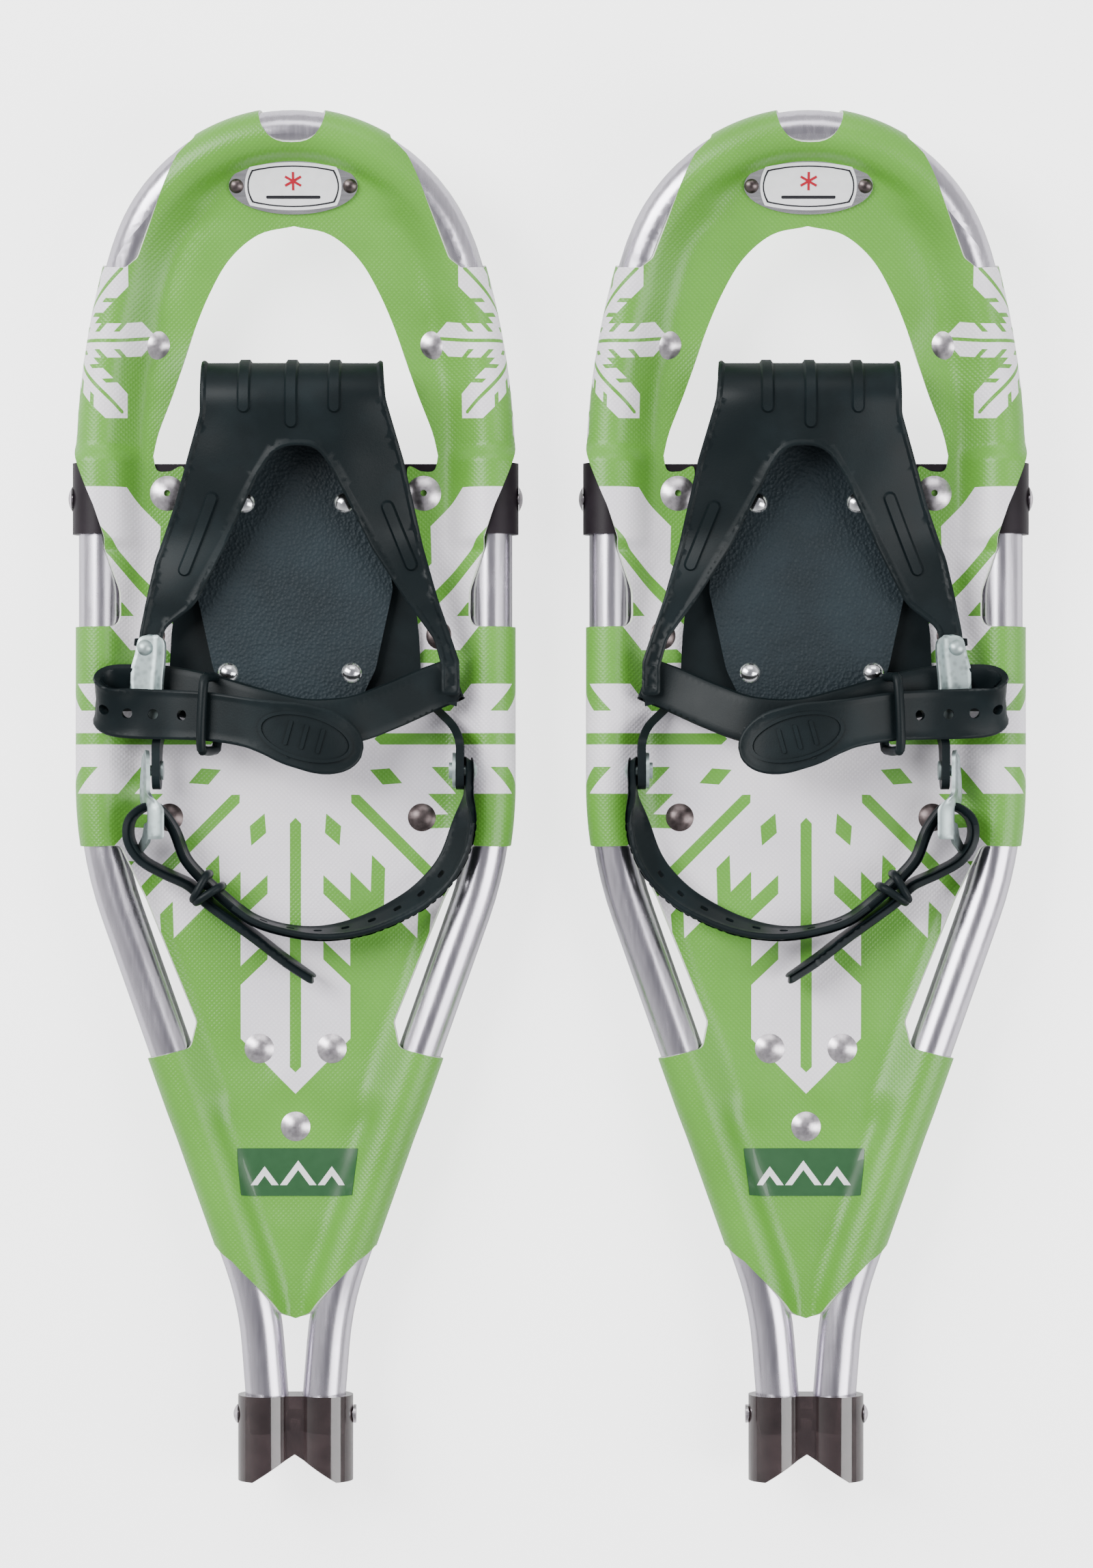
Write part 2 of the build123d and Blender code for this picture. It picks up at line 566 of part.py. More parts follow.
def instep_buckle():
    """Flat plate held between the strap's two layers, with a raised lip at its front end."""
    x, y = BUCKLE_PIVOT
    outline = polygon(((-59, 60), (-47.5, 60), (-46, 48), (-47, 27), (-57, 27), (-58.5, 44)), (4, 3, 6, 2, 2, 6))
    plate = prism(outline, BUCKLE_BOTTOM, BUCKLE_BOTTOM + PLATE_T)
    lip = polygon(((-59, 60), (-47.5, 60), (-47.5, 57.8), (-59, 57.8)), (1, 1, 1, 1))
    plate += prism(lip, BUCKLE_BOTTOM, BUCKLE_BOTTOM + 3 * PLATE_T)
    return plate - pin(x, y, SHANK_R + GAP / 2, 0, 40)


def instep_buckle_rivet():
    x, y = BUCKLE_PIVOT
    top = BUCKLE_BOTTOM + PLATE_T + GAP
    return Pos(x, y, 0) * rivet(ARM_Z - SHEET_T / 2 - GAP, top, 2.9, 1.5)


def slope_place():
    """Frame of the instep keeper: X along the sloping strap, Z out of it."""
    low, raised, low_upper, raised_upper = instep_levels()
    slope_start, slope_end = INSTEP_SLOPE_LOW
    angle = degrees(atan2(raised - low, slope_end - slope_start))
    share = (KEEPER_X - slope_start) / (slope_end - slope_start)
    height = (low + low_upper) / 2 + share * (raised - low)
    return Pos(KEEPER_X, 30.5, height) * Rot(0, -angle, 0)


def ring(width, inner_y, inner_z, thickness):
    """A rounded rectangular rubber loop whose opening faces along X."""
    outer = RectangleRounded(inner_y + 2 * thickness, inner_z + 2 * thickness, thickness + 1)
    hole = RectangleRounded(inner_y, inner_z, 1)
    return Pos(-width / 2, 0, 0) * extrude(Plane.YZ * (outer - hole), amount=width)


def instep_keeper():
    return slope_place() * ring(3.6, 24.4, 10.6, 3.0)


def heel_strand(side):
    """Straight run of one strand through the heel keeper: its two ends."""
    x, y = HEEL_KEEPER
    along = Vector(cos(radians(HEEL_KEEPER_ANGLE)), sin(radians(HEEL_KEEPER_ANGLE)))
    across = Vector(along.Y, -along.X) * (STRAND_OFFSET * side)
    middle = Vector(x, y) + across
    return middle - along * 5, middle + along * 5


def heel_strap():
    """Rubber strap on edge, from its rivet round the heel, looped over the buckle, to a free tail."""
    inner_rear, inner_front = heel_strand(1)
    outer_rear, outer_front = heel_strand(-1)
    x = HEEL_ARM_X + HEEL_T + 0.2
    start = Line((x, HEEL_Y), (x, 2))
    heel = Spline(start @ 1, (59, -23.5), (41.8, -40.2), (11.3, -50.4), (-16, -45), inner_rear,
                  tangents=[(0, -1), inner_front - inner_rear])
    inner = Line(inner_rear, inner_front)
    loop = Spline(inner_front, (-44.5, -12), (-53, -4), (-61.5, -11), (-57, -22.5), outer_front,
                  tangents=[inner_front - inner_rear, outer_rear - outer_front])
    outer = Line(outer_front, outer_rear)
    tail = Spline(outer_rear, (-14, -51.5), (8, -66), tangents=[outer_rear - outer_front, (1, -0.8)])
    bottom = HEEL_Z - HEEL_HEIGHT / 2
    strap = prism(trace(start + heel + inner + loop + outer + tail, HEEL_T), bottom, bottom + HEEL_HEIGHT)
    rounded_end = Cylinder(HEEL_HEIGHT / 2, HEEL_T) - Cylinder(SHANK_R + GAP, 20)
    at_rivet = Pos(x, HEEL_Y, HEEL_Z) * Rot(0, 90, 0)
    strap = strap - at_rivet * Cylinder(SHANK_R + GAP, 20) + at_rivet * rounded_end
    window = block((-60, -46), (-8, 0), (HEEL_Z - 3.6, HEEL_Z + 4.4))
    return strap - window


def heel_strap_rivet():
    body = rivet(HEEL_ARM_X - HEEL_T / 2 - 1.4, HEEL_ARM_X + 1.5 * HEEL_T + 0.3, 3.6, 1.6, tail_r=3.0, tail_h=1.2)
    return Pos(0, HEEL_Y, HEEL_Z) * Rot(0, 90, 0) * body


def heel_strap_washer():
    inner = HEEL_ARM_X - HEEL_T / 2 - 1.3
    washer = Cylinder(6.6, 1.2) - Cylinder(SHANK_R + GAP, 3)
    return Pos(inner + 0.6, HEEL_Y, HEEL_Z) * Rot(0, 90, 0) * washer


def heel_buckle():
    """Steel tongue that hangs on the left heel rivet and passes through the strap's loop to a hook."""
    outer = HEEL_BUCKLE_ARM_X - HEEL_T / 2 - GAP
    profile = ((17.5, 9.5), (17.5, 18.5), (1, 18.5), (0, 17), (-15, 17), (-19.5, 21), (-21, 19.5),
               (-17.5, 11), (0, 11), (1, 9.5))
    corners = (4, 4, 1, 1, 2, 1, 1, 4, 1, 1)
    plate = side_prism(polygon(profile, corners), outer - PLATE_T, outer)
    return plate - Pos(0, HEEL_Y, HEEL_Z) * Rot(0, 90, 0) * Cylinder(SHANK_R + GAP / 2, 200)


def heel_buckle_rivet():
    inner = HEEL_BUCKLE_ARM_X + HEEL_T / 2 + GAP
    outer = HEEL_BUCKLE_ARM_X - HEEL_T / 2 - 2 * GAP - PLATE_T
    body = rivet(-inner, -outer, 2.9, 1.5, tail_h=0.8)
    return Pos(0, HEEL_Y, HEEL_Z) * Rot(0, -90, 0) * body


def heel_keeper():
    place = Pos(*HEEL_KEEPER, HEEL_Z) * Rot(0, 0, HEEL_KEEPER_ANGLE)
    return place * ring(3.6, 2 * STRAND_OFFSET + HEEL_T + 1.6, HEEL_HEIGHT + 1.2, 2.4)


PARTS = (
    frame_tube, tail_cap, tail_cap_rivet, deck, deck_rivets, badge_plate, badge_panel, badge_rivets,
    hinge_strap_ends, strap_tube_rivets, strap_deck_rivets, heel_cleats, heel_cleat_rivets,
    hinge_strap_centre, crampon, binding_base, foot_pad, foot_pad_rivets, toe_harness, instep_strap,
    instep_buckle, instep_buckle_rivet, instep_keeper, heel_strap, heel_strap_rivet, heel_strap_washer,
    heel_buckle, heel_buckle_rivet, heel_keeper,
)

os.makedirs("parts", exist_ok=True)
for make in PARTS:
    left = make()
    right = mirrored(left)
    export_step(Pos(-SHOE_PITCH / 2, CENTRE_SHIFT, GROUND) * left, f"parts/left_{make.__name__}.step")
    export_step(Pos(SHOE_PITCH / 2, CENTRE_SHIFT, GROUND) * right, f"parts/right_{make.__name__}.step")
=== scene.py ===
"""Looks for a pair of youth snowshoes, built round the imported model."""
from math import acos, atan2, cos, pi, radians, sin

import bmesh
import bpy
import numpy as np
from mathutils import Matrix, Vector, noise
from mathutils.geometry import delaunay_2d_cdt


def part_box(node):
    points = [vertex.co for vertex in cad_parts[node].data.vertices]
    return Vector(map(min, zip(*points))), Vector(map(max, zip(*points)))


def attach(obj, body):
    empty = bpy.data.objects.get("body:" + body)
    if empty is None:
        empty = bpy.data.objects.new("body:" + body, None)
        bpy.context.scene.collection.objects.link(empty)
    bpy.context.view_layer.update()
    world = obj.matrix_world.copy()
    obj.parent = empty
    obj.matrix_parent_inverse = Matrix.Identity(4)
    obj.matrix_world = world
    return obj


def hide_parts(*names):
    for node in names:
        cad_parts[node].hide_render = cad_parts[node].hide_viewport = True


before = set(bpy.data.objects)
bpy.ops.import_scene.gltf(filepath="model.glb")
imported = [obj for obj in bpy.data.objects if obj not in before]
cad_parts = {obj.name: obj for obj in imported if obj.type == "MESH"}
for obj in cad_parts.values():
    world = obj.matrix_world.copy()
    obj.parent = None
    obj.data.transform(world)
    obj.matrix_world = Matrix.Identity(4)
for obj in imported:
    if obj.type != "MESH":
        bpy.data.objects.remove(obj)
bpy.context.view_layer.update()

MM = 0.001

# Places in one shoe's own frame, in millimetres: x from its middle line, y to the toe, z from
# the tube's centre. The left shoe is drawn, and the right shoe is its mirror image.
CAP_REAR = -253.9
TOE_Y = 244.6               # tube's centre at the middle of the toe
TOE_R = 63.3
TOE_SWEEP = radians(73)
SHOULDER_R = 278.0
SIDE_LENGTH = 114.0
WAIST_R = 142.0
TAPER_SWEEP = radians(19.5)
TAPER_LENGTH = 137.4
FLARE_R = 120.0
FLARE_SWEEP = radians(15.0)
TAIL_LENGTH = 33.0
UPTURN_Y = 120.0            # the toe curls up ahead of here
UPTURN_R = 400.0
BADGE_Y = 225.7
HEEL_Z = 13.0
HEEL_KEEPER = (-32.6, -34.4)
HEEL_KEEPER_TURN = radians(137)


def shoe_origin(side):
    """Middle line, length zero and tube height of one shoe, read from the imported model."""
    low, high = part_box(f"{side}_tail_cap")
    return Vector(((low[0] + high[0]) / 2, low[1] - CAP_REAR * MM, (low[2] + high[2]) / 2))


SIDES = {"left": 1, "right": -1}
ORIGINS = {side: shoe_origin(side) for side in SIDES}


# -------- materials

class Nodes:
    """Short names for the shader nodes of one material."""

    def __init__(self, name):
        self.material = bpy.data.materials.new(name)
        self.material.use_nodes = True
        self.tree = self.material.node_tree
        self.shader = self.tree.nodes["Principled BSDF"]
        self.place = self.add("ShaderNodeTexCoord").outputs["Object"]

    def put(self, socket, value):
        if hasattr(value, "is_output"):
            self.tree.links.new(value, socket)
        else:
            socket.default_value = value

    def add(self, kind, inputs=None, **settings):
        """A new node with its settings, and its inputs by name or number."""
        node = self.tree.nodes.new(kind)
        for key, value in settings.items():
            setattr(node, key, value)
        for key, value in (inputs or {}).items():
            self.put(node.inputs[key], value)
        return node

    def math(self, operation, a, b):
        return self.add("ShaderNodeMath", {0: a, 1: b}, operation=operation).outputs[0]

    def stretch(self, scale, turn=(0, 0, 0)):
        inputs = {"Vector": self.place, "Scale": scale, "Rotation": turn}
        return self.add("ShaderNodeMapping", inputs).outputs["Vector"]

    def noise(self, scale, detail, vector=None):
        inputs = {"Vector": vector or self.place, "Scale": scale, "Detail": detail}
        return self.add("ShaderNodeTexNoise", inputs).outputs["Fac"]

    def cells(self, scale):
        inputs = {"Vector": self.place, "Scale": scale}
        return self.add("ShaderNodeTexVoronoi", inputs).outputs["Distance"]

    def wave(self, pitch, direction, vector):
        """Bands a pitch apart, in metres."""
        inputs = {"Vector": vector, "Scale": pi / (10 * pitch)}
        return self.add("ShaderNodeTexWave", inputs, bands_direction=direction).outputs["Fac"]

    def ramp(self, factor, low, high, start=0.3, end=0.7):
        node = self.add("ShaderNodeValToRGB", {"Fac": factor})
        first, last = node.color_ramp.elements
        first.color, first.position = (*low, 1), start
        last.color, last.position = (*high, 1), end
        return node.outputs["Color"]

    def span(self, factor, low, high):
        inputs = {"Value": factor, "To Min": low, "To Max": high}
        return self.add("ShaderNodeMapRange", inputs).outputs["Result"]

    def bump(self, height, strength, distance):
        inputs = {"Height": height, "Strength": strength, "Distance": distance}
        self.put(self.shader.inputs["Normal"], self.add("ShaderNodeBump", inputs).outputs["Normal"])

    def set(self, **values):
        for key, value in values.items():
            self.put(self.shader.inputs[key.replace("_", " ")], value)
        return self.material


def tone(color, change):
    return tuple(min(1.0, channel * change) for channel in color)


THREAD = 0.0013             # pitch of the deck's weave, in metres


def coated_cloth(name, color, shade):
    """PVC-coated fabric whose weave shows through the coating."""
    nodes = Nodes(name)
    across = nodes.stretch((1, 1, 1), (0, 0, radians(45)))
    weave = nodes.math("MULTIPLY", nodes.wave(THREAD, "X", across), nodes.wave(THREAD, "Y", across))
    cloud = nodes.noise(24, 4)
    base = nodes.ramp(cloud, tone(color, shade), tone(color, 1.07), 0.25, 0.75)
    mix = nodes.add("ShaderNodeMix", {"Factor": 0.22, "A": base}, data_type="RGBA", blend_type="MULTIPLY")
    nodes.put(mix.inputs["B"], nodes.ramp(weave, (0.62, 0.62, 0.62), (1, 1, 1), 0.0, 0.55))
    nodes.bump(nodes.math("ADD", weave, nodes.math("MULTIPLY", nodes.noise(900, 2), 0.5)), 0.42, 0.00022)
    return nodes.set(Base_Color=mix.outputs["Result"], Roughness=nodes.span(cloud, 0.3, 0.46),
                     Coat_Weight=0.18, Coat_Roughness=0.25, Specular_IOR_Level=0.45)


def moulded_rubber(name, color, rough):
    """Black moulded rubber with faint scuffs and dust."""
    nodes = Nodes(name)
    scuff = nodes.noise(38, 6)
    fine = nodes.noise(1500, 3)
    base = nodes.ramp(scuff, color, tone(color, 1.9), 0.46, 0.8)
    nodes.bump(nodes.math("ADD", fine, nodes.math("MULTIPLY", scuff, 1.6)), 0.35, 0.00008)
    return nodes.set(Base_Color=base, Roughness=nodes.span(scuff, rough - 0.09, rough + 0.13),
                     Specular_IOR_Level=0.16)


def pebbled_rubber(name, color):
    """Rubber sheet moulded with a pebble grain for grip."""
    nodes = Nodes(name)
    pebble = nodes.math("ADD", nodes.noise(620, 2), nodes.math("MULTIPLY", nodes.cells(800), 1.1))
    cloud = nodes.noise(30, 4)
    base = nodes.ramp(cloud, tone(color, 0.75), tone(color, 1.35), 0.3, 0.72)
    nodes.bump(pebble, 0.75, 0.0004)
    return nodes.set(Base_Color=base, Roughness=nodes.span(cloud, 0.5, 0.66), Specular_IOR_Level=0.2)


def metal(name, color, rough, grain, wear, bump):
    """Bare metal with drawn or turned grain; grain is the noise scale along each axis."""
    nodes = Nodes(name)
    lines = nodes.noise(1.0, 5, nodes.stretch(grain))
    cloud = nodes.noise(45, 4)
    base = nodes.ramp(lines, tone(color, 1 - wear), tone(color, 1 + wear / 2), 0.35, 0.65)
    roughness = nodes.math("ADD", nodes.span(lines, -0.06, 0.06),
                           nodes.span(cloud, rough - 0.05, rough + 0.08))
    nodes.bump(lines, bump, 0.00006)
    return nodes.set(Base_Color=base, Metallic=1.0, Roughness=roughness)


def spangled_zinc(name, color):
    """Zinc plate with its mottled crystals."""
    nodes = Nodes(name)
    crystal = nodes.cells(420)
    cloud = nodes.noise(160, 4)
    base = nodes.ramp(nodes.math("ADD", crystal, cloud), tone(color, 0.72), tone(color, 1.2), 0.45, 1.0)
    nodes.bump(cloud, 0.3, 0.0001)
    return nodes.set(Base_Color=base, Metallic=0.85, Roughness=nodes.span(cloud, 0.32, 0.55))


def smoked_plastic(name):
    """Clear dark-brown moulding with faint swirls."""
    nodes = Nodes(name)
    swirl = nodes.noise(110, 3)
    base = nodes.ramp(swirl, (0.05, 0.036, 0.038), (0.085, 0.06, 0.062), 0.3, 0.7)
    nodes.bump(swirl, 0.1, 0.0002)
    return nodes.set(Base_Color=base, Roughness=nodes.span(swirl, 0.06, 0.16), IOR=1.46,
                     Transmission_Weight=0.6, Coat_Weight=0.4)


def gloss_panel(name, color, rough=0.22):
    """Smooth printed or painted face."""
    nodes = Nodes(name)
    speck = nodes.noise(300, 3)
    base = nodes.ramp(speck, tone(color, 0.94), color, 0.3, 0.6)
    nodes.bump(speck, 0.06, 0.00005)
    return nodes.set(Base_Color=base, Roughness=nodes.span(speck, rough - 0.05, rough + 0.06),
                     Coat_Weight=0.3)


GREEN = (0.125, 0.385, 0.04)
LAVENDER = (0.93, 0.89, 0.98)
MATERIALS = {
    "green": coated_cloth("coated_cloth_green", GREEN, 0.86),
    "print": coated_cloth("coated_cloth_print", LAVENDER, 0.93),
    "cut": coated_cloth("coated_cloth_cut_edge", (0.78, 0.86, 0.72), 0.9),
    "rubber": moulded_rubber("moulded_rubber", (0.0042, 0.0078, 0.0092), 0.42),
    "strap": moulded_rubber("strap_rubber", (0.012, 0.009, 0.012), 0.38),
    "pad": pebbled_rubber("pebbled_rubber", (0.014, 0.022, 0.027)),
    "tube": metal("drawn_aluminium", (0.6, 0.57, 0.64), 0.24, (700, 60, 700), 0.06, 0.0),
    "rivet": metal("turned_rivet", (0.6, 0.56, 0.6), 0.3, (700, 700, 700), 0.2, 0.05),
    "bright": metal("polished_rivet", (0.8, 0.81, 0.84), 0.16, (300, 300, 300), 0.12, 0.1),
    # the same aluminium rivet metal darkened: painted shade for the heel cleat rivets, which lie in shadow;
    # the badge rivets share it
    "dark": metal("rivet_painted_shade", (0.13, 0.105, 0.105), 0.34, (500, 500, 500), 0.3, 0.06),
    "plate": metal("badge_metal", (0.8, 0.79, 0.82), 0.22, (80, 900, 80), 0.1, 0.12),
    "steel": metal("stainless_sheet", (0.62, 0.62, 0.63), 0.3, (700, 60, 700), 0.15, 0.2),
    "zinc": spangled_zinc("spangled_zinc", (0.36, 0.43, 0.43)),
    "cap": smoked_plastic("smoked_plastic"),
    "panel": gloss_panel("panel_white", (0.88, 0.88, 0.9)),
    "ink": gloss_panel("panel_ink", (0.02, 0.02, 0.024)),
    "red": gloss_panel("panel_red", (0.42, 0.012, 0.03)),
    "label": gloss_panel("label_green", (0.018, 0.085, 0.026), 0.4),
}


def dress(node, material):
    """Give both shoes' copies of a CAD node its material."""
    for side in SIDES:
        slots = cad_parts[f"{side}_{node}"].data.materials
        slots.clear()
        slots.append(MATERIALS[material])


# -------- building meshes

HARD_EDGE = radians(40)


def new_object(name, data):
    item = bpy.data.objects.new(name, data)
    bpy.context.scene.collection.objects.link(item)
    return item


def sharpen(mesh):
    """Smooth shading, with hard edges kept where the surface turns sharply."""
    work = bmesh.new()
    work.from_mesh(mesh)
    bmesh.ops.recalc_face_normals(work, faces=work.faces)
    for face in work.faces:
        face.smooth = True
    for edge in work.edges:
        if len(edge.link_faces) == 2:
            edge.smooth = edge.calc_face_angle() < HARD_EDGE
    work.to_mesh(mesh)
    work.free()


def add_piece(name, points, faces, materials, body, replaces=(), marks=None, thicken=None):
    """Build a piece on both shoes from left-shoe points in millimetres."""
    for side, sign in SIDES.items():
        mesh = bpy.data.meshes.new(f"{side}_{name}")
        flip = [tuple(face) if sign > 0 else tuple(reversed(face)) for face in faces]
        mesh.from_pydata([(sign * x * MM, y * MM, z * MM) for x, y, z in points], [], flip)
        for material in materials:
            mesh.materials.append(MATERIALS[material])
        if marks is not None:
            mesh.polygons.foreach_set("material_index", marks)
        piece = new_object(f"{side}_{name}", mesh)
        if thicken:
            thicken(piece)
            graph = bpy.context.evaluated_depsgraph_get()
            solid = bpy.data.meshes.new_from_object(piece.evaluated_get(graph))
            piece.modifiers.clear()
            piece.data = solid
        piece.data.transform(Matrix.Translation(ORIGINS[side]))
        sharpen(piece.data)
        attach(piece, f"{side}_{body}")
        if replaces:
            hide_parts(*[f"{side}_{node}" for node in replaces])


def solid_sheet(thickness, rim=0, offset=-1.0):
    """For add_piece: gives a surface its thickness."""
    def build(piece):
        bpy.context.view_layer.update()
        sheet = piece.modifiers.new("thickness", "SOLIDIFY")
        sheet.thickness = thickness * MM
        sheet.offset = offset
        sheet.use_even_offset = False
        sheet.material_offset_rim = rim
    return build


def unit(rows):
    return rows / np.linalg.norm(rows, axis=1)[:, None]


def distance_along(line):
    return np.concatenate(([0], np.cumsum(np.linalg.norm(np.diff(line, axis=0), axis=1))))


def relax(line, times):
    """Softens a polyline's corners in place, keeping its ends."""
    for _ in range(times):
        line[1:-1] = (line[:-2] + 2 * line[1:-1] + line[2:]) / 4


def resample(points, step, closed=False):
    """Points along a polyline, about a step apart, keeping its corners."""
    points = [np.array(point, float) for point in points]
    if closed:
        points.append(points[0])
    result = []
    for start, end in zip(points, points[1:]):
        count = max(1, int(np.ceil(np.linalg.norm(end - start) / step)))
        result += [start + (end - start) * i / count for i in range(count)]
    if not closed:
        result.append(points[-1])
    return np.array(result)


def smooth_curve(points, step, closed=False):
    """Points about a step apart along a smooth curve through the given points."""
    points = [np.array(point, float) for point in points]
    count = len(points)
    result = []
    last = count if closed else count - 1
    for i in range(last):
        if closed:
            p0, p1, p2, p3 = (points[(i + k) % count] for k in (-1, 0, 1, 2))
        else:
            p1, p2 = points[i], points[i + 1]
            p0 = points[i - 1] if i else 2 * p1 - p2
            p3 = points[i + 2] if i + 2 < count else 2 * p2 - p1
        pieces = max(2, int(np.linalg.norm(p2 - p1) / step))
        for j in range(pieces):
            t = j / pieces
            result.append(0.5 * (2 * p1 + (p2 - p0) * t + (2 * p0 - 5 * p1 + 4 * p2 - p3) * t**2
                                 + (3 * p1 - p0 - 3 * p2 + p3) * t**3))
    if not closed:
        result.append(points[-1])
    return np.array(result)


def rounded(corners, steps=5):
    """A closed outline from (x, y, radius) corners, each rounded by an arc of that radius."""
    outline = []
    count = len(corners)
    for i, (x, y, radius) in enumerate(corners):
        here = np.array((x, y), float)
        if not radius:
            outline.append(here)
            continue
        before = np.array(corners[i - 1][:2], float) - here
        after = np.array(corners[(i + 1) % count][:2], float) - here
        before_len, after_len = np.linalg.norm(before), np.linalg.norm(after)
        before, after = before / before_len, after / after_len
        half = acos(max(-1, min(1, float(before @ after)))) / 2
        reach = min(radius / max(np.tan(half), 1e-6), 0.48 * before_len, 0.48 * after_len)
        start, end = here + before * reach, here + after * reach
        for j in range(steps + 1):
            t = j / steps
            outline.append((1 - t)**2 * start + 2 * t * (1 - t) * here + t**2 * end)
    return np.array(outline)


def rounded_box(x1, y1, x2, y2, radius, steps=5):
    return rounded([(x1, y1, radius), (x2, y1, radius), (x2, y2, radius), (x1, y2, radius)], steps)


def ellipse(x, y, a, b, count):
    angles = np.arange(count) * 2 * pi / count
    return np.stack((a * np.cos(angles), b * np.sin(angles)), 1) + (x, y)


def inside(points, outline):
    """Which points lie inside a closed outline."""
    x, y = points[:, 0], points[:, 1]
    result = np.zeros(len(points), bool)
    for (x1, y1), (x2, y2) in zip(outline, np.roll(outline, -1, axis=0)):
        crosses = (y1 > y) != (y2 > y)
        with np.errstate(divide="ignore", invalid="ignore"):
            result ^= crosses & (x < (x2 - x1) * (y - y1) / (y2 - y1) + x1)
    return result


def distance_to(points, line, closed=True):
    """Distance from each point to a polyline."""
    ends = np.roll(line, -1, axis=0) if closed else line[1:]
    starts = line if closed else line[:-1]
    best = np.full(len(points), 1e9)
    for a, b in zip(starts, ends):
        run = b - a
        share = np.clip(((points - a) @ run) / max(run @ run, 1e-9), 0, 1)
        best = np.minimum(best, np.linalg.norm(points - (a + share[:, None] * run), axis=1))
    return best


def grid(outline, step):
    """Staggered points that fill an outline's box."""
    low, high = outline.min(0), outline.max(0)
    rows = np.arange(low[1], high[1], step * 0.87)
    columns = np.arange(low[0], high[0], step)
    return np.array([(x + (i % 2) * step / 2, y) for i, y in enumerate(rows) for x in columns])


def inset(outline, depths, step=1.6):
    """Rows of points that follow a closed outline at some depths inside it."""
    loop = resample(outline, step, True)
    run = np.roll(loop, -1, 0) - np.roll(loop, 1, 0)
    normal = np.stack((-run[:, 1], run[:, 0]), 1) / np.maximum(np.linalg.norm(run, axis=1), 1e-9)[:, None]
    rows = np.concatenate([loop + sign * depth * normal for depth in depths for sign in (-1, 1)])
    depth = np.repeat(depths, 2 * len(loop))
    return rows[inside(rows, outline) & (distance_to(rows, loop) > depth - 0.06)]


def capsule(start, end, radius):
    """Outline of a line with round ends."""
    start, end = np.array(start, float), np.array(end, float)
    heading = atan2(*(end - start)[::-1])
    sides = ((end, heading - pi / 2), (start, heading + pi / 2))
    turns = [(centre, first + pi * i / 8) for centre, first in sides for i in range(9)]
    return np.array([centre + radius * np.array((cos(turn), sin(turn))) for centre, turn in turns])


def triangulate(outline, holes, fill, prints=(), edge_step=2.0, clear=0.9):
    """Flat triangles inside an outline and outside its holes, split along the prints' edges.
    Gives points, triangles, and for each triangle whether it lies in an odd number of prints."""
    outline = resample(outline, edge_step, True)
    holes = [resample(hole, edge_step, True) for hole in holes]
    prints = [resample(shape, edge_step, True) for shape in prints]
    keep = inside(fill, outline) & (distance_to(fill, outline) > clear)
    for hole in holes:
        keep &= ~inside(fill, hole) & (distance_to(fill, hole) > clear)
    fill = fill[keep]
    points, edges = [], []
    for loop in (outline, *holes, *prints):
        start = len(points)
        points += [Vector(point) for point in loop]
        edges += [(start + i, start + (i + 1) % len(loop)) for i in range(len(loop))]
    points += [Vector(point) for point in fill]
    flat, _, triangles, *_ = delaunay_2d_cdt(points, edges, [], 0, 1e-4)
    flat = np.array([(point.x, point.y) for point in flat])
    triangles = np.array([tuple(face) for face in triangles])
    middles = flat[triangles].mean(1)
    use = inside(middles, outline)
    for hole in holes:
        use &= ~inside(middles, hole)
    triangles, middles = triangles[use], middles[use]
    marks = np.zeros(len(triangles), int)
    for shape in prints:
        marks ^= inside(middles, shape).astype(int)
    used = np.unique(triangles)
    order = np.full(len(flat), -1)
    order[used] = np.arange(len(used))
    return flat[used], order[triangles], marks


def soft_rim(edge, drop=0.45, width=0.6):
    """How far a surface sinks near its edge, so that the edge looks rounded."""
    return -drop * (1 - np.clip(edge / width, 0, 1))**2


def smoothstep(value, low, high):
    t = np.clip((value - low) / (high - low), 0, 1)
    return t * t * (3 - 2 * t)


# -------- the tube's centreline

def rise(y):
    """Height of the upturned toe."""
    run = np.maximum(0.0, np.asarray(y) - UPTURN_Y)
    return UPTURN_R - np.sqrt(UPTURN_R**2 - run**2)


def centreline():
    """Plan points of the right half of the tube's centreline, from the toe to the tail."""
    legs = ((TOE_R, -TOE_SWEEP), (SHOULDER_R, TOE_SWEEP - pi / 2), (None, SIDE_LENGTH),
            (WAIST_R, -TAPER_SWEEP), (None, TAPER_LENGTH), (FLARE_R, FLARE_SWEEP), (None, TAIL_LENGTH))
    x, y, heading = 0.0, TOE_Y, 0.0
    points = [(x, y)]
    for radius, amount in legs:
        length = amount if radius is None else radius * abs(amount)
        steps = max(4, int(length * 11 / 7))
        for _ in range(steps):
            turn = 0 if radius is None else amount / steps
            heading += turn / 2
            x += cos(heading) * length / steps
            y += sin(heading) * length / steps
            heading += turn / 2
            points.append((x, y))
    return np.array(points)


CENTRE = centreline()
RUN = unit(np.gradient(CENTRE, axis=0))
INWARD = np.stack((RUN[:, 1], -RUN[:, 0]), 1)


def nearest(points):
    """For points of the right half: nearest centreline index, distance inward, and rest along it."""
    index = np.empty(len(points), int)
    for start in range(0, len(points), 2000):
        part = points[start:start + 2000]
        gaps = ((part[:, None, :] - CENTRE[None])**2).sum(2)
        index[start:start + 2000] = gaps.argmin(1)
    gap = points - CENTRE[index]
    return index, (gap * INWARD[index]).sum(1), (gap * RUN[index]).sum(1)


# -------- deck

CLOTH_T = 1.1
CLOTH_R = 9.25              # outer face of the cloth round the tube
OVER_STRAP_R = 11.9         # and where it passes over the hinge strap
MEET = 15.0                 # where both layers meet inside the tube
TIGHT_R = 9.0               # at the toe and the tail, where the badge and the label need it flat
TIGHT_MEET = 10.6
SPAN = MEET + 8             # beyond here the cloth is flat
WRAP_END = -52.0            # how far the cloth is wrapped under, along the cloth
TOP_Z = 0.6                 # upper face of the top layer
UNDER_Z = -1.9              # lower face of the layer that is wrapped under


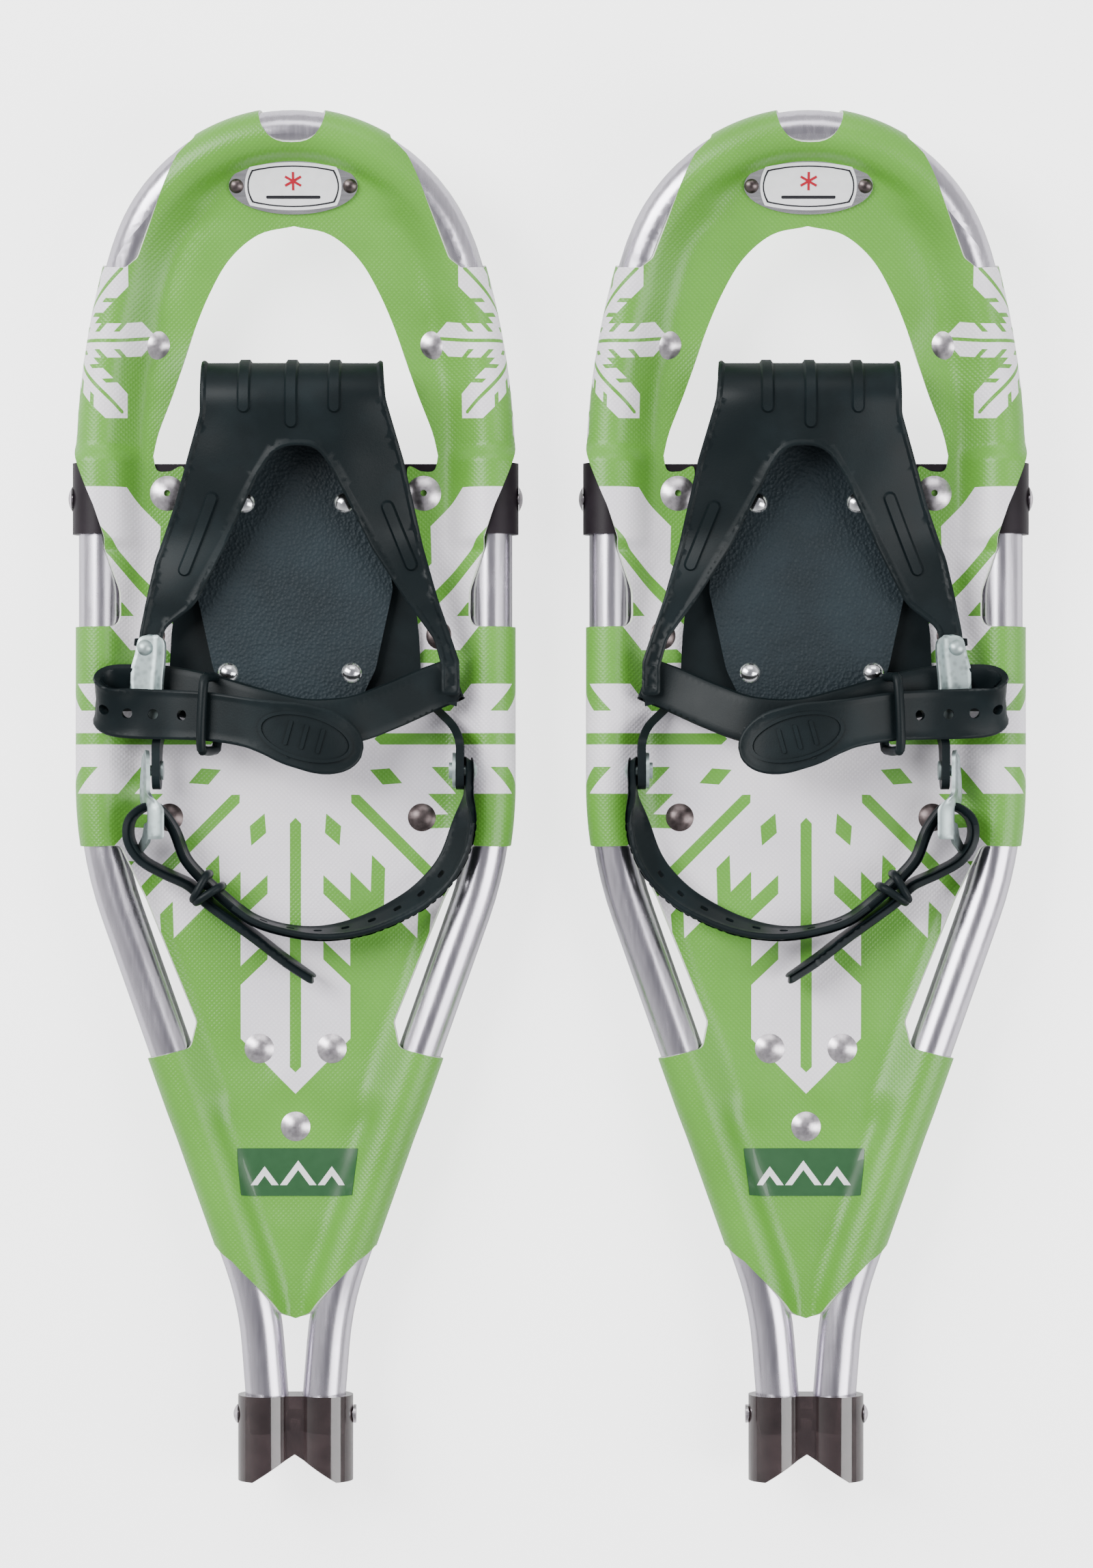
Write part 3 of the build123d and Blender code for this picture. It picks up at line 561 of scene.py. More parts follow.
def wrap_profile(radius, meet):
    """Cross-section of the cloth round the tube: along-cloth place, distance inward, height."""
    lean = acos(radius / meet)
    line = [(MEET + 14, TOP_Z), (meet, TOP_Z)]
    angles = np.linspace(lean, 2 * pi - lean, 60)
    line += [(radius * cos(a), radius * sin(a)) for a in angles]
    line += [(meet, UNDER_Z), (MEET + 14, UNDER_Z)]
    line = resample(line, 0.8)
    relax(line, 18)
    outside = np.linalg.norm(line, axis=1)
    low = outside < radius
    line[low] *= (radius / outside[low])[:, None]
    along = MEET + 14 - distance_along(line)
    return along[::-1], line[::-1, 0], line[::-1, 1]


PROFILES = (wrap_profile(CLOTH_R, MEET), wrap_profile(OVER_STRAP_R, MEET),
            wrap_profile(TIGHT_R, TIGHT_MEET))


def to_cloth(x, y):
    """The place on the flat cloth that ends up at a plan point, on its upper side."""
    index, inward, _ = nearest(np.array([(x, y)]))
    along, distance, height = PROFILES[0]
    upper = (height > -0.3) & (along > -18)
    order = np.argsort(distance[upper])
    flat = np.interp(inward[0], distance[upper][order], along[upper][order])
    place = np.array((x, y), float)
    if inward[0] > SPAN:
        return place
    if inward[0] > 0:
        return place + INWARD[index[0]] * (flat - inward[0])
    return CENTRE[index[0]] + INWARD[index[0]] * flat


def under(x, y):
    """The end of the wrap, under the tube, beside a plan point."""
    index, *_ = nearest(np.array([(x, y)]))
    return CENTRE[index[0]] + INWARD[index[0]] * WRAP_END


def deck_cut():
    """Outline of the flat cloth."""
    def top(x, y, radius=0):
        return (*to_cloth(x, y), radius)

    def end(x, y):
        return (*under(x, y), 0)

    toe = [end(0, 253), end(31, 246), top(36.5, 243.6, 1.5), top(42, 238.5, 3), top(57.3, 200.4, 4),
           top(62, 196.7, 2), top(70.3, 196.4), end(70, 197)]
    beside_strap = [end(81.7, 131), top(81.9, 131, 0.5), top(76, 108.5), top(71, 93.8, 8),
                    top(64.6, 76.6, 9), top(64.4, 63.3, 5), top(81.9, 63.1), end(81.9, 63.1)]
    waist = [end(80.6, -18), top(80.8, -18), top(64.4, -18, 3), top(55, -37.5, 20), top(36.4, -83.5, 4),
             top(38.5, -93, 4), top(54.6, -97.3), end(53.5, -98)]
    tail = [end(31, -164), top(29.9, -167.2, 2), (26.4, -173, 5), (7, -191.5, 7), (0, -194, 0)]
    corners = rounded(toe + beside_strap + waist + tail)
    mirror = corners[::-1] * (-1, 1)
    return np.concatenate((corners[1:], mirror[:-1]))


def toe_opening():
    """Toe opening and the slot under the binding, outline on the cloth."""
    arch = smooth_curve([(0, 211), (13, 208), (23.5, 199.5), (31, 187.5), (37.7, 172), (45, 151), (50.8, 136),
                         (53, 127)], 2.0)
    tab = rounded([(53, 127, 0), (52, 120.8, 4), (46.5, 121.2, 3), (41.5, 124, 3), (40.8, 74, 0)])
    half = np.concatenate((arch, tab[1:]))
    return np.concatenate((half, (half[::-1] * (-1, 1))[:-1]))


def toe_notch():
    """Half-moon at the middle of the toe: the lower end of a squarish oval."""
    turns = np.arange(40) * pi / 20
    across, ahead = np.cos(turns), np.sin(turns)
    return np.stack((13.6 * np.sign(across) * np.abs(across)**0.75,
                     266.0 + 20.6 * np.sign(ahead) * np.abs(ahead)**0.75), 1)


def flake(x, y, scale):
    """A plain eight-armed snowflake: closed outlines, each inside one turning white to green."""
    half_arm = [(20.4, 49.3), (20.4, 60), (10.4, 50.6), (10.4, 57.6), (20.4, 67), (20.4, 84.5), (10.4, 75),
                (10.4, 82), (20.4, 91.5), (20.4, 111.5), (0, 132)]
    outline, ribs, gems = [], [], []
    for arm in range(8):
        turn = arm * pi / 4
        across, out = np.array((cos(turn), -sin(turn))), np.array((sin(turn), cos(turn)))
        left = [(-w, r) for w, r in half_arm[:-1]]
        outline += [across * w + out * r for w, r in left + [half_arm[-1]] + half_arm[:-1][::-1]]
        rib = [(-2.1, 31.5), (0, 29.3), (2.1, 31.5), (2.1, 122), (0, 124), (-2.1, 122)]
        ribs.append(np.array([across * w + out * r for w, r in rib]))
        middle = across * sin(pi / 8) + out * cos(pi / 8)
        aside = across * cos(pi / 8) - out * sin(pi / 8)
        gem = [(0, 30), (3.3, 36.5), (0, 43), (-3.3, 36.5)]
        gems.append(np.array([aside * w + middle * r for w, r in gem]))
    points = np.array(outline)
    keep = np.linalg.norm(points - np.roll(points, 1, axis=0), axis=1) > 0.5
    return [points[keep] * scale + (x, y)] + [shape * scale + (x, y) for shape in (*ribs, *gems)]


def cloth_to_shoe(flat):
    """Where each point of the flat cloth lies on the shoe."""
    sign = np.where(flat[:, 0] < 0, -1.0, 1.0)
    half = np.abs(flat[:, 0])
    index, along, rest = nearest(np.stack((half, flat[:, 1]), 1))
    tangent, normal = RUN[index], INWARD[index]
    base = CENTRE[index] + tangent * rest[:, None]
    over = smoothstep(base[:, 1], 91, 97) * (1 - smoothstep(base[:, 1], 124.5, 132))
    toe = np.maximum(smoothstep(base[:, 1], 224, 236), smoothstep(-base[:, 1], 112, 126))
    shares = (1 - over - toe, over, toe)
    distance, height = (sum(share * np.interp(along, p[0], p[axis]) for share, p in zip(shares, PROFILES))
                        for axis in (1, 2))
    slope = np.arcsin(np.clip((base[:, 1] - UPTURN_Y) / UPTURN_R, 0, 1))
    up = np.stack((np.zeros_like(slope), -np.sin(slope), np.cos(slope)), 1)
    ahead = unit(np.stack((tangent[:, 0], tangent[:, 1], tangent[:, 1] * np.tan(slope)), 1))
    inward = np.cross(ahead, up)
    inward *= np.sign((inward[:, :2] * normal).sum(1))[:, None]
    origin = np.stack((base[:, 0], base[:, 1], rise(base[:, 1])), 1)
    wrapped = origin + inward * distance[:, None] + up * height[:, None]
    plan = np.stack((half, flat[:, 1], rise(flat[:, 1]) + np.where(along > 0, TOP_Z, UNDER_Z)), 1)
    between_tails = (1 - smoothstep(half, 1, 5)) * (base[:, 1] < 0)
    free = np.maximum(smoothstep(along, MEET - 2, SPAN), between_tails)[:, None]
    points = wrapped * (1 - free) + plan * free
    points[:, 0] *= sign
    return points, along


RIVETS = np.array([(52, 168), (13.5, -93.6), (0, -122.6), (53.8, 60), (47, -7.6), (47.7, 113)])
CREASES = (-160, -135, -112, 40, 5, 150, 185)
SWELL = 1.9
CREASE = 0.35


def ripple(x, y):
    """Smooth noise over the deck's plan, in two sizes."""
    return (noise.noise(Vector((x * 0.035, y * 0.028, 3.1)))
            + 0.45 * noise.noise(Vector((x * 0.08, y * 0.07, 8.7))))


def slack(points, along):
    """Soft swells in the cloth, clear of binding, label and rivets, and creases by the tube."""
    wave = np.array([ripple(x, y) for x, y, _ in points])
    weight = smoothstep(along, 12, 24)
    binding = smoothstep(points[:, 1], 60, 76) * (1 - smoothstep(points[:, 1], 128, 142))
    label = smoothstep(-points[:, 1], 118, 128) * (1 - smoothstep(-points[:, 1], 151, 161))
    flat = np.maximum(binding, label * (1 - smoothstep(np.abs(points[:, 0] - 1), 22, 27)))
    flat = np.maximum(flat, smoothstep(points[:, 1], 206, 214))
    plan = np.stack((np.abs(points[:, 0]), points[:, 1]), 1)
    rivet = np.min(np.linalg.norm(plan[:, None] - RIVETS[None], axis=2), axis=1)
    weight = weight * smoothstep(rivet, 5, 15)
    points[:, 2] += (0.5 + 0.5 * np.clip(wave, -1, 1)) * weight * (1 - flat) * SWELL
    pull = np.zeros(len(points))
    for y in CREASES:
        pull += np.exp(-((points[:, 1] - y) / 7.0)**2)
    edge = smoothstep(along, -12, -2) * (1 - smoothstep(along, 14, 26))
    points[:, 2] += CREASE * pull * edge * smoothstep(along, 1, 6)
    return points


def build_deck():
    outline = deck_cut()
    opening = toe_opening()
    notch = toe_notch()
    inner = grid(outline, 4.2)
    rows = []
    for along in np.arange(WRAP_END + 1, MEET + 3, 1.9):
        line = resample(CENTRE + INWARD * along, 4.0)
        rows += [line, line * (-1, 1)]
    band = np.concatenate(rows)
    band = band[np.abs(band[:, 0]) > 0.8]
    folded = np.stack((np.abs(band[:, 0]), band[:, 1]), 1)
    _, own, _ = nearest(folded)
    band = band[own > WRAP_END]
    _, depth, _ = nearest(np.stack((np.abs(inner[:, 0]), inner[:, 1]), 1))
    inner = inner[depth > MEET + 3]
    prints = flake(0, 21.6, 1.0) + flake(-92.5, 170.3, 0.315) + flake(92.5, 170.3, 0.315)
    fill = np.concatenate((inner, band))
    near = np.full(len(fill), 1e9)
    for shape in prints:
        near = np.minimum(near, distance_to(fill, shape))
    flat, faces, marks = triangulate(outline, [opening, notch], fill[near > 0.7], prints)
    points, along = cloth_to_shoe(flat)
    points = slack(points, along)
    add_piece("deck_cloth", points, faces, ["green", "print", "cut"], "frame", ["deck"],
              marks, solid_sheet(CLOTH_T, rim=2))


build_deck()


# -------- straps and moulded rubber

class Ribbon:
    """A strap's middle line with its width direction, so that (along, across) maps to the shoe."""

    def __init__(self, points, widths):
        both = smooth_curve([(*point, *width) for point, width in zip(points, widths)], 1.0)
        self.line = both[:, :3]
        width = both[:, 3:]
        ahead = unit(np.gradient(self.line, axis=0))
        self.width = unit(width - (width * ahead).sum(1)[:, None] * ahead)
        self.out = np.cross(ahead, self.width)
        self.along = distance_along(self.line)
        self.length = self.along[-1]

    def at(self, table, along):
        return np.stack([np.interp(along, self.along, table[:, axis]) for axis in range(3)], 1)

    def place(self, flat, lift=0.0):
        return (self.at(self.line, flat[:, 0]) + self.at(self.width, flat[:, 0]) * flat[:, 1:2]
                + self.at(self.out, flat[:, 0]) * np.asarray(lift).reshape(-1, 1))

    def along_at(self, axis, value, after=0.0):
        """Distance along, past a given point, where the line comes nearest to a coordinate."""
        gap = np.abs(self.line[:, axis] - value)
        gap[self.along < after] = 1e9
        return self.along[gap.argmin()]


def build_ribbon(name, ribbon, outline, holes, thickness, body, replaces, bead):
    """A strap from its flat outline, with a raised bead along its edges."""
    fill = np.concatenate((grid(outline, 2.6), inset(outline, (0.6, 1.1, 1.9))))
    flat, faces, _ = triangulate(outline, holes, fill, edge_step=1.6, clear=0.45)
    edge = distance_to(flat, resample(outline, 1.6, True))
    lift = thickness / 2 + bead * (1 - smoothstep(edge, 1.0, 1.9)) + soft_rim(edge)
    add_piece(name, ribbon.place(flat, lift), faces, ["rubber"], body, replaces,
              thicken=solid_sheet(thickness))


HARNESS_T = 2.6
LEAF_Z = 4.7                # the part under the foot pad
CURL_Y = 146
CURL_R = 12.65
ARM_Z = 15.0


def harness_profile():
    """The harness from the side: leaf under the pad, curl, slope down to level arms, as (y, z)."""
    curl = [(CURL_Y + CURL_R * sin(a), LEAF_Z + CURL_R * (1 - cos(a)))
            for a in np.linspace(0, radians(192), 40)]
    line = resample([(88, LEAF_Z), *curl, (74.0, 15.9), (66, ARM_Z), (30, ARM_Z)], 1.0)
    relax(line, 10)
    return distance_along(line), line


HARNESS_ALONG, HARNESS_LINE = harness_profile()
CURL_FRONT = HARNESS_LINE[:, 0].argmax()


def harness_along(y, upper=True):
    """Distance along the harness sheet at a place along the shoe."""
    if upper:
        return float(np.interp(-y, -HARNESS_LINE[CURL_FRONT:, 0], HARNESS_ALONG[CURL_FRONT:]))
    return float(np.interp(y, HARNESS_LINE[:CURL_FRONT, 0], HARNESS_ALONG[:CURL_FRONT]))


def harness_place(flat, lift):
    """Where a point (across, along) of the flat harness lies, lifted off its surface."""
    table = np.hstack((HARNESS_LINE, unit(np.gradient(HARNESS_LINE, axis=0))))
    y, z, run_y, run_z = (np.interp(flat[:, 1], HARNESS_ALONG, column) for column in table.T)
    top = smoothstep(flat[:, 1], HARNESS_ALONG[CURL_FRONT] - 4, HARNESS_ALONG[CURL_FRONT] + 14)
    arms = smoothstep(-y, -100, -70)
    droop = top * ((1 - arms) * 4.5 * (np.abs(flat[:, 0]) / 36)**2.4 - 1.2 * (1 - arms))
    wobble = np.array([noise.noise(Vector((a * 0.05, b * 0.05, 1.7))) for a, b in flat])
    wobble = wobble * 0.8 * top * (1 - arms)
    return np.stack((flat[:, 0], y + run_z * lift, z - run_y * lift - droop + wobble), 1)


def build_harness():
    up = harness_along
    left = [(-33, up(90, False), 0), (-33.5, up(140, False), 10), (-33.4, up(157), 6),
            (-33.6, up(141), 12), (-43.5, up(108), 25), (-51, up(88), 25), (-56.5, up(61), 12),
            (-57.6, up(50.5), 4), (-49, up(50.5), 4), (-47.5, up(62), 8), (-36, up(71), 14),
            (-25, up(92), 30), (-12.5, up(118), 8), (-5, up(129), 12)]
    right = [(9, up(129), 12), (15, up(120), 12), (29, up(92), 30), (42, up(72), 20), (52, up(58), 12),
             (54.7, up(48), 4), (54.7, up(37.5), 2), (61.5, up(37.5), 2), (61.3, up(50), 6),
             (53.5, up(73), 25), (47.8, up(93), 25), (41, up(124), 25), (34.6, up(146), 12),
             (33.2, up(157), 6), (33, up(140, False), 10), (31, up(90, False), 0)]
    outline = rounded(left + right)
    front = HARNESS_ALONG[CURL_FRONT]
    ribs = [((-17.3, front - 9), (-17.3, up(143))), ((0, front - 9), (0, up(137.5))),
            ((15.8, front - 9), (15.8, up(143))), ((-29.5, up(110)), (-40, up(84))),
            ((35, up(107)), (43.5, up(86)))]
    edges = [capsule(start, end, radius) for start, end in ribs for radius in (1.7, 2.5)]
    fill = np.concatenate((grid(outline, 2.3), inset(outline, (0.6, 1.3, 2.3))))
    fill = fill[np.min([distance_to(fill, shape) for shape in edges], axis=0) > 0.5]
    flat, faces, _ = triangulate(outline, [], fill, edges, edge_step=1.5, clear=0.45)
    edge = distance_to(flat, resample(outline, 1.5, True))
    lift = HARNESS_T / 2 + 0.9 * (1 - smoothstep(edge, 1.2, 2.3)) + soft_rim(edge)
    for start, end in ribs:
        gap = distance_to(flat, np.array((start, end)), False)
        lift += 1.2 * (1 - smoothstep(gap, 1.65, 2.5))
    points = harness_place(flat, lift)
    add_piece("toe_loop", points, faces, ["rubber"], "binding", ["toe_harness"],
              thicken=solid_sheet(HARNESS_T, offset=1.0))


build_harness()


def instep_ribbon():
    """The instep strap's middle line, from the right arm over to the loop and back to its tip."""
    flat, lean, tongue = (0, 1, 0), (0.05, 0.93, 0.36), (-0.27, 0.95, 0)
    stations = [((60.3, 43.8, 12.0), (-0.03, 1, 0)), ((50, 39.8, 12.7), (-0.26, 0.96, 0)),
                ((36, 33.5, 18.2), (-0.3, 0.95, 0)), ((22, 28.5, 23.6), (-0.12, 1, 0)),
                ((4, 27.5, 24.6), flat), ((-14, 31.5, 24.2), (0.1, 1, 0)),
                ((-30, 36, 19.2), (0.12, 1, 0)), ((-44, 39, 14.6), (0.05, 1, 0)),
                ((-58, 40, 13.9), lean), ((-67.5, 39.5, 14.2), lean), ((-71.2, 36, 17.8), lean),
                ((-67.5, 32, 21.4), lean), ((-56, 30.6, 21.5), flat), ((-43, 30.2, 22.0), flat),
                ((-29, 29.4, 26.6), (-0.05, 1, 0)), ((-14, 27, 31.2), (-0.22, 0.97, 0)),
                ((2, 22.8, 32.2), tongue), ((15, 19.2, 31.2), tongue), ((26, 16.2, 28.6), tongue)]
    return Ribbon([point for point, _ in stations], [width for _, width in stations])


def build_instep():
    ribbon = instep_ribbon()
    turn = ribbon.along_at(0, -72)
    tongue = ribbon.along_at(0, -8, turn)
    end = ribbon.length
    side = smooth_curve([(0, 7.2), (11, 8.3), (turn, 9.2), (tongue - 15, 8.9), (tongue - 2, 9.7),
                         (tongue + 8, 11.5), (end - 18, 12)], 1.8)
    tip = [(end - 17 + 17 * sin(a), 12 * cos(a)) for a in np.linspace(0.1, 1.42, 9)]
    half = np.concatenate((side, tip))
    outline = np.concatenate((half, half[::-1] * (1, -1)))
    holes = [ellipse(ribbon.along_at(0, x, turn + 1), 0, 1.9, 1.9, 16) for x in (-69.0, -60.5, -50.7, -40.4)]
    build_ribbon("instep_strap_rubber", ribbon, outline, holes, 3.0, "binding", ["instep_strap"], bead=0.25)
    middle = ribbon.along_at(0, 5, turn)
    rim = ellipse(middle, 0, 17.5, 8.6, 40)
    inner = ellipse(middle, 0, 16.2, 7.4, 40)
    flat, faces, _ = triangulate(rim, [inner], grid(rim, 1.6), edge_step=1.2, clear=0.3)
    add_piece("tongue_ring", ribbon.place(flat, 2.25), faces, ["rubber"], "binding",
              thicken=solid_sheet(0.9))
    for i in range(3):
        bar = rounded_box(middle - 7 + 6 * i, -4.6, middle - 5.6 + 6 * i, 4.6, 0.8)
        flat, faces, _ = triangulate(bar, [], grid(bar, 1.2), edge_step=1.0, clear=0.3)
        add_piece(f"tongue_grip_{i}", ribbon.place(flat, 2.1), faces, ["rubber"], "binding",
                  thicken=solid_sheet(0.8))


build_instep()


def bead_ring(name, path, radius, body, replaces, closed=True):
    """A round-section cord swept along a path."""
    path = smooth_curve(path, 1.0, closed)
    total, count = len(path), 12
    ahead = unit(np.roll(path, -1, 0) - np.roll(path, 1, 0) if closed else np.gradient(path, axis=0))
    side = unit(np.cross(ahead, (0.13, 0.21, 0.97)))
    up = np.cross(side, ahead)
    angles = np.arange(count) * 2 * pi / count
    points = np.concatenate([path[i] + radius * (np.outer(np.cos(angles), side[i])
                                                 + np.outer(np.sin(angles), up[i])) for i in range(total)])
    faces = []
    for i in range(total if closed else total - 1):
        after = (i + 1) % total
        for j in range(count):
            k = (j + 1) % count
            faces.append((i * count + j, i * count + k, after * count + k, after * count + j))
    if not closed:
        faces += [tuple(range(count))[::-1], tuple(range((total - 1) * count, total * count))]
    add_piece(name, points, faces, ["rubber"], body, replaces)


def build_instep_keeper():
    slope = Vector((0.942, 0, 0.335))
    up = Vector((-0.335, 0, 0.942))
    middle = Vector((-30.0, 30.5, 22.8))
    ring = [(-13.4, 3), (-13.2, -4.4), (-10.6, -7.4), (10.6, -7.4), (13.2, -4.6), (13.4, 3), (11, 7.3),
            (-11, 7.3)]
    path = [tuple(middle + Vector((0, y, 0)) + up * z + slope * (0.05 * y)) for y, z in ring]
    bead_ring("instep_keeper_loop", path, 1.75, "instep_keeper", ["instep_keeper"])


build_instep_keeper()


def heel_path():
    """The heel strap's middle line in plan, from its rivet round the heel to its free tip."""
    turn = HEEL_KEEPER_TURN
    along, across = np.array((cos(turn), sin(turn))), np.array((sin(turn), -cos(turn))) * 2.3
    keeper = np.array(HEEL_KEEPER)
    main, back = keeper + across, keeper - across
    round_heel = [(64.7, 15.0), (64.9, 9.8), (64.8, 0), (62.6, -13), (58.2, -24.5), (51, -33.5),
                  (41.5, -40.6), (26.5, -47.6), (11.3, -50.6), (-3, -49.4), (-16, -45.0)]
    to_hook = [tuple(main - along * 5), tuple(main), tuple(main + along * 5), (-40.3, -22.5),
               (-44.8, -11.5), (-52, -3.6)]
    back_again = [(-59.5, -7.5), (-60.5, -15.5), (-56, -22.8), (-47.5, -27.8), tuple(back + along * 6),
                  tuple(back), tuple(back - along * 5), (-14, -51.5), (-3, -60), (8, -67.5)]
    return round_heel + to_hook + back_again


TAIL_STATION = 21           # from here back to its tip the strap hangs a little lower


def build_heel_strap():
    path = heel_path()
    count = len(path)
    stations, widths = [], []
    for i, (x, y) in enumerate(path):
        share = i / (count - 1)
        lean = 0.12 + 0.95 * float(smoothstep(-y, 2, 16) * (1 - smoothstep(share, 0.16, 0.36)))
        towards = Vector((-x, 14 - y, 0)).normalized() * lean
        stations.append((x, y, HEEL_Z - (0.6 if i >= TAIL_STATION else 0)))
        widths.append((-towards.x, -towards.y, 0.95))
    ribbon = Ribbon(stations, widths)
    end = ribbon.length
    hook = ribbon.along_at(0, -52, 0.45 * end)
    half = [(0, 4.0, 3.5), (5, 6.2, 5), (hook - 40, 5.6, 30), (hook - 12, 4.6, 12), (hook, 4.4, 10),
            (hook + 12, 4.6, 12), (hook + 30, 5.4, 20), (end - 12, 6.0, 12), (end, 4.6, 3)]
    outline = rounded(half + [(a, -w, r) for a, w, r in reversed(half)])
    holes = [rounded_box(a - 1.6, -1, a + 1.6, 1, 0.9, 3) for a in np.arange(46, hook - 52, 10.5)]
    holes.append(rounded_box(hook - 2.2, -3.2, hook + 2.2, 3.2, 1, 3))
    build_ribbon("heel_strap_rubber", ribbon, outline, holes, 2.9, "heel_strap", ["heel_strap"], bead=0.35)
    for place, sign in (("lower", -1), ("upper", 1)):
        rail = [tuple(ribbon.place(np.array([(a, sign * 5.0)]), 0.6)[0]) for a in np.arange(24, hook - 48, 9)]
        bead_ring(f"heel_strap_rail_{place}", rail, 1.15, "heel_strap", (), closed=False)


build_heel_strap()


def build_heel_keeper():
    turn = HEEL_KEEPER_TURN
    along, across = Vector((cos(turn), sin(turn), 0)), Vector((sin(turn), -cos(turn), 0))
    middle = Vector((*HEEL_KEEPER, HEEL_Z))
    ring = [(-5.2, 0), (-5.0, 6.4), (-2.6, 8.2), (2.6, 8.2), (5.0, 6.4), (5.2, 0), (5.0, -6.4),
            (2.6, -8.2), (-2.6, -8.2), (-5.0, -6.4)]
    for i, shift in enumerate((-2.0, 2.0)):
        path = [tuple(middle + across * a + Vector((0, 0, z)) + along * (shift + 0.25 * a * (1 if i else -1)))
                for a, z in ring]
        bead_ring(f"heel_keeper_loop_{i}", path, 1.5, "heel_keeper", ["heel_keeper"] if i == 0 else ())


build_heel_keeper()


# -------- buckles

def bent_plate(name, outline, holes, across, body, replaces):
    """A zinc plate from its outline in (along the shoe, across the plate), bent over a cross-section."""
    fill = np.concatenate((grid(outline, 1.6), inset(outline, (0.5, 1.1), 1.1)))
    flat, faces, _ = triangulate(outline, holes, fill, edge_step=1.1, clear=0.4)
    x, z = across(flat)
    z = z + soft_rim(distance_to(flat, resample(outline, 1.1, True)), 0.3, 0.5)
    add_piece(name, np.stack((x, flat[:, 0], z), 1), faces, ["zinc"], body, replaces,
              thicken=solid_sheet(1.5, offset=0.0))


def instep_section(flat):
    """Flat over the arm, with its inner edge turned up."""
    u = flat[:, 1]
    x = np.interp(u, [0, 8.0, 9.5, 14], [-58.6, -50.6, -49.2, -46.4])
    z = np.interp(u, [0, 8.0, 9.5, 14], [17.5, 17.5, 18.2, 22.0])
    return x + (1.2 * smoothstep(flat[:, 0], 40, 56) - 1.2), z


def heel_section(flat):
    """A lip on top and a leaning side, kept outside the arm where the plate runs beside it."""
    u = flat[:, 1]
    beside_arm = smoothstep(flat[:, 0], -5, 2.5)
    x = np.interp(u, [0, 2.8, 4.2, 13], [-47.6, -50.6, -52.6, -57.4])
    z = np.interp(u, [0, 2.8, 4.2, 13], [20.4, 20.2, 19.0, 9.0])
    x += beside_arm * (np.interp(u, [0, 6.5, 13], [-53.1, -54.5, -58.0]) - x)
    z += beside_arm * (np.interp(u, [0, 6.5, 13], [20.0, 14.0, 9.5]) - z)
    return x, z


def build_buckles():
    upper = rounded([(59, 2, 3), (59.4, 9, 3), (57.5, 13.5, 3), (49, 14, 3), (40, 14, 2), (27, 13, 2),
                     (27, 1, 2), (48, 0, 3)])
    bent_plate("instep_buckle_plate", upper, [ellipse(34, 6.5, 1.2, 3.2, 16)], instep_section,
               "instep_buckle", ["instep_buckle"])
    lower = rounded([(17.8, 3.6, 2.5), (15.5, 0.5, 4), (6, 0, 4), (-15, 0, 1), (-15.2, 4.2, 1),
                     (-17, 5.4, 1.5), (-20.8, 11.4, 1.2), (-18.6, 13.4, 1.2), (-14.6, 9.2, 2),
                     (-10, 7.4, 1), (-9.4, 4.8, 1), (-3, 4.8, 1), (-2.5, 10.4, 1.5), (8, 9.4, 3),
                     (15, 8.2, 3)])
    bent_plate("heel_buckle_plate", lower, [], heel_section, "heel_strap", ["heel_buckle"])


build_buckles()


# -------- badge and label prints

def tilted(height):
    """Maps flat badge points to the upturned deck, at a height above the deck's middle."""
    slope = float(np.arcsin((BADGE_Y - UPTURN_Y) / UPTURN_R))
    base = np.array((0, BADGE_Y, float(rise(BADGE_Y))))
    ahead, up = np.array((0, cos(slope), sin(slope))), np.array((0, -sin(slope), cos(slope)))
    return lambda flat: base + np.outer(flat[:, 0], (1, 0, 0)) + np.outer(flat[:, 1], ahead) + up * height


def flat_print(name, outline, holes, place, material, step=2.0):
    """A thin printed shape laid on a surface."""
    flat, faces, _ = triangulate(outline, holes, grid(outline, step), edge_step=step, clear=0.3)
    add_piece(name, place(flat), faces, [material], "frame", thicken=solid_sheet(0.12))


def barrel(x, y, bow):
    """A rectangle with bowed sides."""
    corners = [(-x + bow, -y + bow), (0, -y), (x - bow, -y + bow), (x, 0), (x - bow, y - bow), (0, y),
               (-x + bow, y - bow), (-x, 0)]
    sides = []
    for i in range(0, 8, 2):
        a, b, c = (np.array(corners[(i + k) % 8], float) for k in range(3))
        b = 2 * b - (a + c) / 2
        sides += [(1 - t)**2 * a + 2 * t * (1 - t) * b + t**2 * c for t in np.arange(0, 1, 0.1)]
    return np.array(sides)


def build_badge_print():
    place = tilted(2.37)
    flat_print("badge_border", barrel(16.9, 7.7, 1.7), [barrel(16.4, 7.2, 1.7)], place, "ink")
    for arm in range(3):
        turn = arm * pi / 3
        bar = np.array([(-0.45, -3.4), (0.45, -3.4), (0.45, 3.4), (-0.45, 3.4)])
        spin = np.array(((cos(turn), sin(turn)), (-sin(turn), cos(turn))))
        flat_print(f"badge_star_{arm}", bar @ spin + (0, 1.9), [], tilted(2.38 + 0.03 * arm), "red")
    flat_print("badge_bar", rounded_box(-10, -4.6, 10, -3.4, 0.5), [], place, "ink")


def drape(lift):
    """Maps flat label points to the deck's cloth, lifted off it."""
    def place(flat):
        points, along = cloth_to_shoe(flat)
        return slack(points, along) + (0, 0, lift)
    return place


